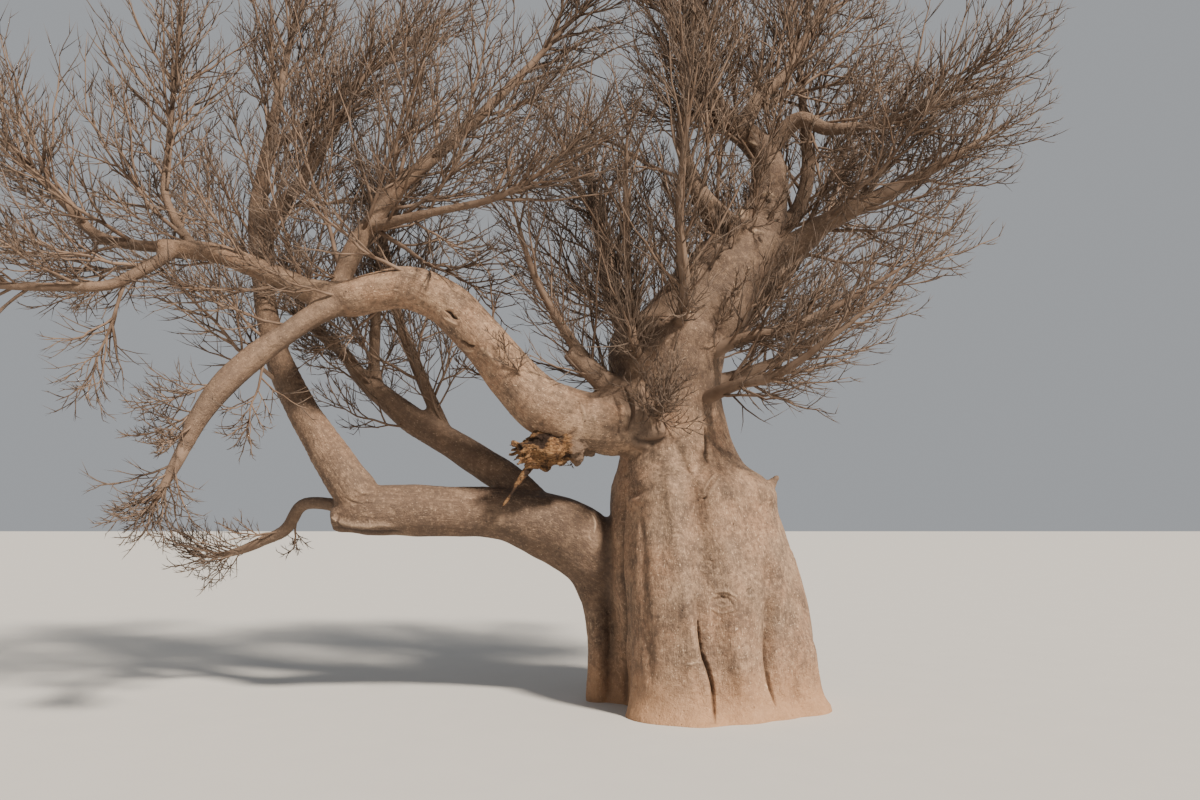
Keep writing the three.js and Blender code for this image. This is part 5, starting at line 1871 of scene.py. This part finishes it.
class BAOBAB_OT_bark(bpy.types.Operator):
    """Make the skin of bark on the trunk and the limbs"""

    bl_idname = "baobab.bark"
    bl_label = "Bark"

    def execute(self, context):
        settings = context.scene.baobab_bark
        mesh = fused_skin(settings.voxel)
        smooth_skin(mesh, settings.smoothing, settings.fillet)
        cut_flat(mesh)
        marks = marks_on(mesh)
        refine_under(mesh, marks)
        points = points_of(mesh)
        grain = Grain(points)
        near_meeting = meeting(mesh, grain.limb)
        lift = relief(grain) * smoothstep(0.0, GROUND_FADE, points[:, 2]) * (1 - near_meeting)
        set_points(mesh, points + normals_of(mesh) * lift[:, None])
        stain = cut_marks(mesh, marks)
        settled = points_of(mesh)
        settled[points[:, 2] < ON_GROUND, 2] = 0.0
        settled[:, 2] = np.maximum(settled[:, 2], 0.0)
        set_points(mesh, settled)
        # the darkening held here for the limbs, the neck and many marks is partly painted shade
        facts = {
            "stain": stain, "height": settled[:, 2], "girth": grain.girth, "meeting": near_meeting,
            "age": weathering_and_shade(mesh, grain.limb), "grain": grain.place,
        }
        material = bark_material(settings)
        for piece, nodes in split_skin(mesh, grain.limb, facts):
            placed(piece.name, piece, [material], nodes)
        bpy.data.meshes.remove(mesh)
        return {"FINISHED"}


class BAOBAB_OT_torn_stub(bpy.types.Operator):
    """Make the torn stub with its splintered end"""

    bl_idname = "baobab.torn_stub"
    bl_label = "Torn stub"

    def execute(self, context):
        settings = context.scene.baobab_wood
        line = Line(TORN_STUB)
        raw = Gathered()
        raw.add_tube(rings(line, np.linspace(0.0, 0.93, 16), sides=22, lumps=0.22, salt=STUB_SALT))
        self._add_lumps(raw, line, settings.lumps)
        self._add_splinters(raw, line, settings.splinters)
        self._add_long_splinter(raw, line)
        mesh = fused(raw, "raw_stub", settings.grid)
        # the dips of the torn wood get painted shade in the colour of rot
        lift, sunk = self._torn(points_of(mesh))
        add_attribute(mesh, "hollow", sunk)
        add_attribute(mesh, "root", smoothstep(*BARK_ENDS, points_of(mesh)[:, 0]))
        set_points(mesh, points_of(mesh) + normals_of(mesh) * lift[:, None])
        mesh.polygons.foreach_set("use_smooth", np.ones(len(mesh.polygons), bool))
        placed("torn_stub_wood", mesh, [torn_material(settings)], ["torn_stub"])
        return {"FINISHED"}

    @staticmethod
    def _torn(points):
        """How far the torn wood stands out at each point, in fibres and terraces, and how dark its dips are
        made, as rot and painted shade.
        """
        fibres, steps, dips = (
            soft_noise(points * (stretch, 1, 1), size, salt) for stretch, size, salt in TORN_NOISE
        )
        ridges = 0.5 - np.abs(fibres)
        terraces = np.round(TERRACES * steps) / TERRACES
        hollows = np.maximum(dips - LEAST_DIP, 0.0)
        lift = RIDGE_HEIGHT * ridges + TERRACE_HEIGHT * terraces - HOLLOW_DEPTH * hollows
        lift *= 0.2 + 0.8 * smoothstep(*SPLINTER_CALM, points[:, 2])
        # the second value is painted shade: darkest in the dips, lighter on ridges and terraces
        return lift, np.clip(hollows * 3.5 - terraces * 0.5 - ridges * 0.5, 0.0, 1.0)

    @staticmethod
    def _scattered(line, share, turn):
        """Points on a line, and there the directions along it and, at the turns given, out of it."""
        along = line.tangent(share)
        side, across = across_of(along, UP)
        return line.point(share), along, side * np.cos(turn)[:, None] + across * np.sin(turn)[:, None]

    def _add_lumps(self, raw, line, count):
        """Crumbling lumps of wood all over the stub."""
        where, turn, depth, size, length, height = chances(np.arange(count), LUMP_SALT, 6)
        share = dealt(LUMP_PLACE, where)
        centre, _, out = self._scattered(line, share, 2 * math.pi * turn)
        centre = centre + out * line.radius(share)[:, None] * dealt(LUMP_OUT, depth)[:, None]
        size = dealt(LUMP_SIZE, size)
        radii = np.stack((size * (1 + length), size, size * (1 + 0.5 * height)), axis=-1)
        for place, radius in zip(centre, radii):
            raw.add_tube(ball(place, radius, sides=12, steps=8))

    def _add_splinters(self, raw, line, count):
        """Wedges of wood that stand out of the stub, most of them at its torn end."""
        number = np.arange(count)
        where, turn, depth, length, forward, outward, girth = chances(number, SPLINTER_SALT, 7)
        share = dealt(SPLINTER_PLACE, np.sqrt(where))
        centre, along, out = self._scattered(line, share, 2 * math.pi * turn)
        root = centre + out * line.radius(share)[:, None] * dealt(SPLINTER_OUT, depth)[:, None]
        length = dealt(SPLINTER_LENGTH, length ** 2)
        onward, aside = dealt(SPLINTER_ONWARD, forward), dealt(SPLINTER_ASIDE, outward)
        heading = unit(along * onward[:, None] + out * aside[:, None] - UP * 0.2)
        tip = root + heading * length[:, None]
        middle = (root + tip) / 2 + out * 0.02
        small = Shoots(root, middle, tip, dealt(SPLINTER_RADIUS, girth), SPLINTER_KEY + number, length)
        add_shoots(raw, small, sides=5, steps=4, finish=0, tip_radius=0.007)

    @staticmethod
    def _add_long_splinter(raw, line):
        """The one long splinter that hangs from the torn end."""
        start, end = line.point(np.array([0.70])), np.array([LONG_SPLINTER])
        radius, key, size = np.array([0.070]), np.array([LONG_SPLINTER_KEY]), np.array([0.6])
        splinter = Shoots(start, (start + end) / 2 + 0.05, end, radius, key, size)
        add_shoots(raw, splinter, sides=8, steps=10, finish=0, tip_radius=0.010)


class BAOBAB_OT_twigs(bpy.types.Operator):
    """Grow the stems and twigs of every mass of the crown"""

    bl_idname = "baobab.twigs"
    bl_label = "Twigs"

    def execute(self, context):
        settings = context.scene.baobab_twigs
        materials = [
            twig_material("stem_bark", settings.stem_light, settings.stem_dark, 0.5),
            twig_material("twig_bark", settings.twig_light, settings.twig_dark, 0.3),
        ]
        room = Room()
        for own, name in enumerate(STEMS):
            gathered = Gathered()
            self._add_own(gathered, name, own, room, settings)
            self._add_side_boughs(gathered, name, own, room, settings)
            if name in CROWDED:
                self._add_crowded(gathered, name, own, room, settings)
            piece = name.replace("_twigs", "_growth")
            placed(piece, gathered.mesh(piece), materials, [name])
        return {"FINISHED"}

    @staticmethod
    def _add_own(gathered, name, own, room, settings):
        """A mass's stem, with three orders of shoots within reach of the mass's solid."""
        stem = STEMS[name]
        reach = TIP_MASSES[name][3] if name in TIP_MASSES else TRUNK_MASSES[name][0]
        low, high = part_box(name)
        box = (np.array(low) - MASS_REACH, np.array(high) + MASS_REACH)
        add_stem(gathered, stem)
        firsts = shoots_on(
            stem, [SEED + own], SHOOTS_ON_STEM, [reach], SHOOT_SLENDERNESS, FIRST_LEAST_RADIUS,
            number=every(STEM_STRIDE, STEM_SHOOTS, SHOOTS_ON_STEM),
        )
        chosen = every(SHOOT_STRIDE, STEM_SECONDS, SHOOTS_ON_SHOOT)
        grow(gathered, firsts, room, box, settings, chosen, SECOND_SHARE)

    @staticmethod
    def _add_side_boughs(gathered, name, own, room, settings):
        """The boughs that belong to a mass and stand along its limbs, with three orders of shoots on them."""
        for limb, start, stop, count, length in SIDE_BOUGHS.get(name, ()):
            boughs = boughs_on(LIMB_LINES[limb], SEED + 100 * count + own, count, length, (start, stop))
            boughs = with_room(boughs, room, room.whole, (0.5, 0.75, 1.0))
            add_shoots(gathered, boughs, sides=6, steps=10, finish=STEM_BARK, tip_radius=0.006)
            whips = SIDE_SHOOTS if length > LONG_BOUGH else SHORT_SHOOTS
            length = boughs.size * WHIP_LENGTH
            firsts = shoots_on(boughs, boughs.key, whips, length, WHIP_SLENDERNESS, FIRST_LEAST_RADIUS)
            chosen = every(SHOOT_STRIDE, WHIP_SECONDS, SHOOTS_ON_SHOOT)
            grow(gathered, firsts, room, room.whole, settings, chosen, WHIP_SHARE)

    @staticmethod
    def _add_crowded(gathered, name, own, room, settings):
        """Short crowded twigs on the foot of a stem, with spurs on them."""
        count, length = CROWDED[name]
        key = SEED + 50 + own
        short = shoots_on(
            STEMS[name], [key], count, [length], SECOND_SLENDERNESS, CROWDED_LEAST_RADIUS, CROWDED_STRETCH,
        )
        short = with_room(short, room, room.whole)
        add_shoots(gathered, short, sides=4, steps=4, finish=TWIG_BARK, tip_radius=settings.tip)
        length = short.size * SPUR_SHARE
        spurs = shoots_on(short, short.key, SPURS, length, FINE_SLENDERNESS, SPUR_LEAST_RADIUS)
        spurs = with_room(spurs, room, room.whole)
        add_shoots(gathered, spurs, sides=3, steps=2, finish=TWIG_BARK, tip_radius=settings.tip)


class BAOBAB_OT_stage(bpy.types.Operator):
    """Make the floor, the light and the camera"""

    bl_idname = "baobab.stage"
    bl_label = "Stage"

    def execute(self, context):
        settings = context.scene.baobab_stage
        self._add_floor(settings)
        self._add_light(context, settings)
        self._add_camera(context)
        return {"FINISHED"}

    @staticmethod
    def _add_floor(settings):
        half = settings.floor_size / 2
        mesh = bpy.data.meshes.new("floor")
        corners = [(-half, -half, 0), (half, -half, 0), (half, half, 0), (-half, half, 0)]
        mesh.from_pydata(corners, [], [(0, 1, 2, 3)])
        mesh.materials.append(floor_material(settings.floor_colour))
        linked("floor", mesh)

    @staticmethod
    def _add_light(context, settings):
        world = bpy.data.worlds.new("studio")
        world.use_nodes = True
        background = world.node_tree.nodes["Background"]
        background.inputs["Color"].default_value = opaque(settings.sky_colour)
        background.inputs["Strength"].default_value = settings.sky_strength
        context.scene.world = world
        lamp = bpy.data.lights.new("key", "SUN")
        lamp.energy = settings.key_strength
        lamp.color = settings.key_colour
        lamp.angle = settings.key_softness
        side, height = settings.key_side, settings.key_height
        level = math.cos(height)
        toward = Vector((math.sin(side) * level, -math.cos(side) * level, math.sin(height)))
        key = linked("key", lamp)
        key.location = toward * KEY_DISTANCE
        key.rotation_euler = toward.to_track_quat("Z", "Y").to_euler()

    @staticmethod
    def _add_camera(context):
        lens = bpy.data.cameras.new("camera")
        lens.lens = CAMERA_LENS
        lens.sensor_width = CAMERA_SENSOR
        lens.clip_end = CAMERA_REACH
        camera = linked("camera", lens)
        camera.location = CAMERA_PLACE
        camera.rotation_euler = (math.pi / 2 + CAMERA_PITCH, 0.0, 0.0)
        context.scene.camera = camera


class BAOBAB_PT_panel(bpy.types.Panel):
    """The tree's pieces and their settings."""

    bl_label = "Baobab tree"
    bl_idname = "BAOBAB_PT_panel"
    bl_space_type = "VIEW_3D"
    bl_region_type = "UI"
    bl_category = "Baobab"

    def draw(self, context):
        for group, _, operator in GROUPS:
            box = self.layout.box()
            settings = getattr(context.scene, group)
            for name in settings.bl_rna.properties.keys():
                if name not in ("rna_type", "name"):
                    box.prop(settings, name)
            box.operator(operator.bl_idname)


# The settings in the scene, and the operator that uses each
GROUPS = (
    ("baobab_stage", StageSettings, BAOBAB_OT_stage),
    ("baobab_bark", BarkSettings, BAOBAB_OT_bark),
    ("baobab_wood", WoodSettings, BAOBAB_OT_torn_stub),
    ("baobab_twigs", TwigSettings, BAOBAB_OT_twigs),
)


def register():
    for group, settings, operator in GROUPS:
        bpy.utils.register_class(settings)
        bpy.utils.register_class(operator)
        setattr(bpy.types.Scene, group, PointerProperty(type=settings))
    bpy.utils.register_class(BAOBAB_PT_panel)


def unregister():
    bpy.utils.unregister_class(BAOBAB_PT_panel)
    for group, settings, operator in reversed(GROUPS):
        delattr(bpy.types.Scene, group)
        bpy.utils.unregister_class(operator)
        bpy.utils.unregister_class(settings)


def main():
    """Makes every piece in order."""
    register()
    bpy.ops.baobab.stage()
    bpy.ops.baobab.bark()
    bpy.ops.baobab.torn_stub()
    bpy.ops.baobab.twigs()
    bpy.context.view_layer.update()


if __name__ == "__main__":
    main()
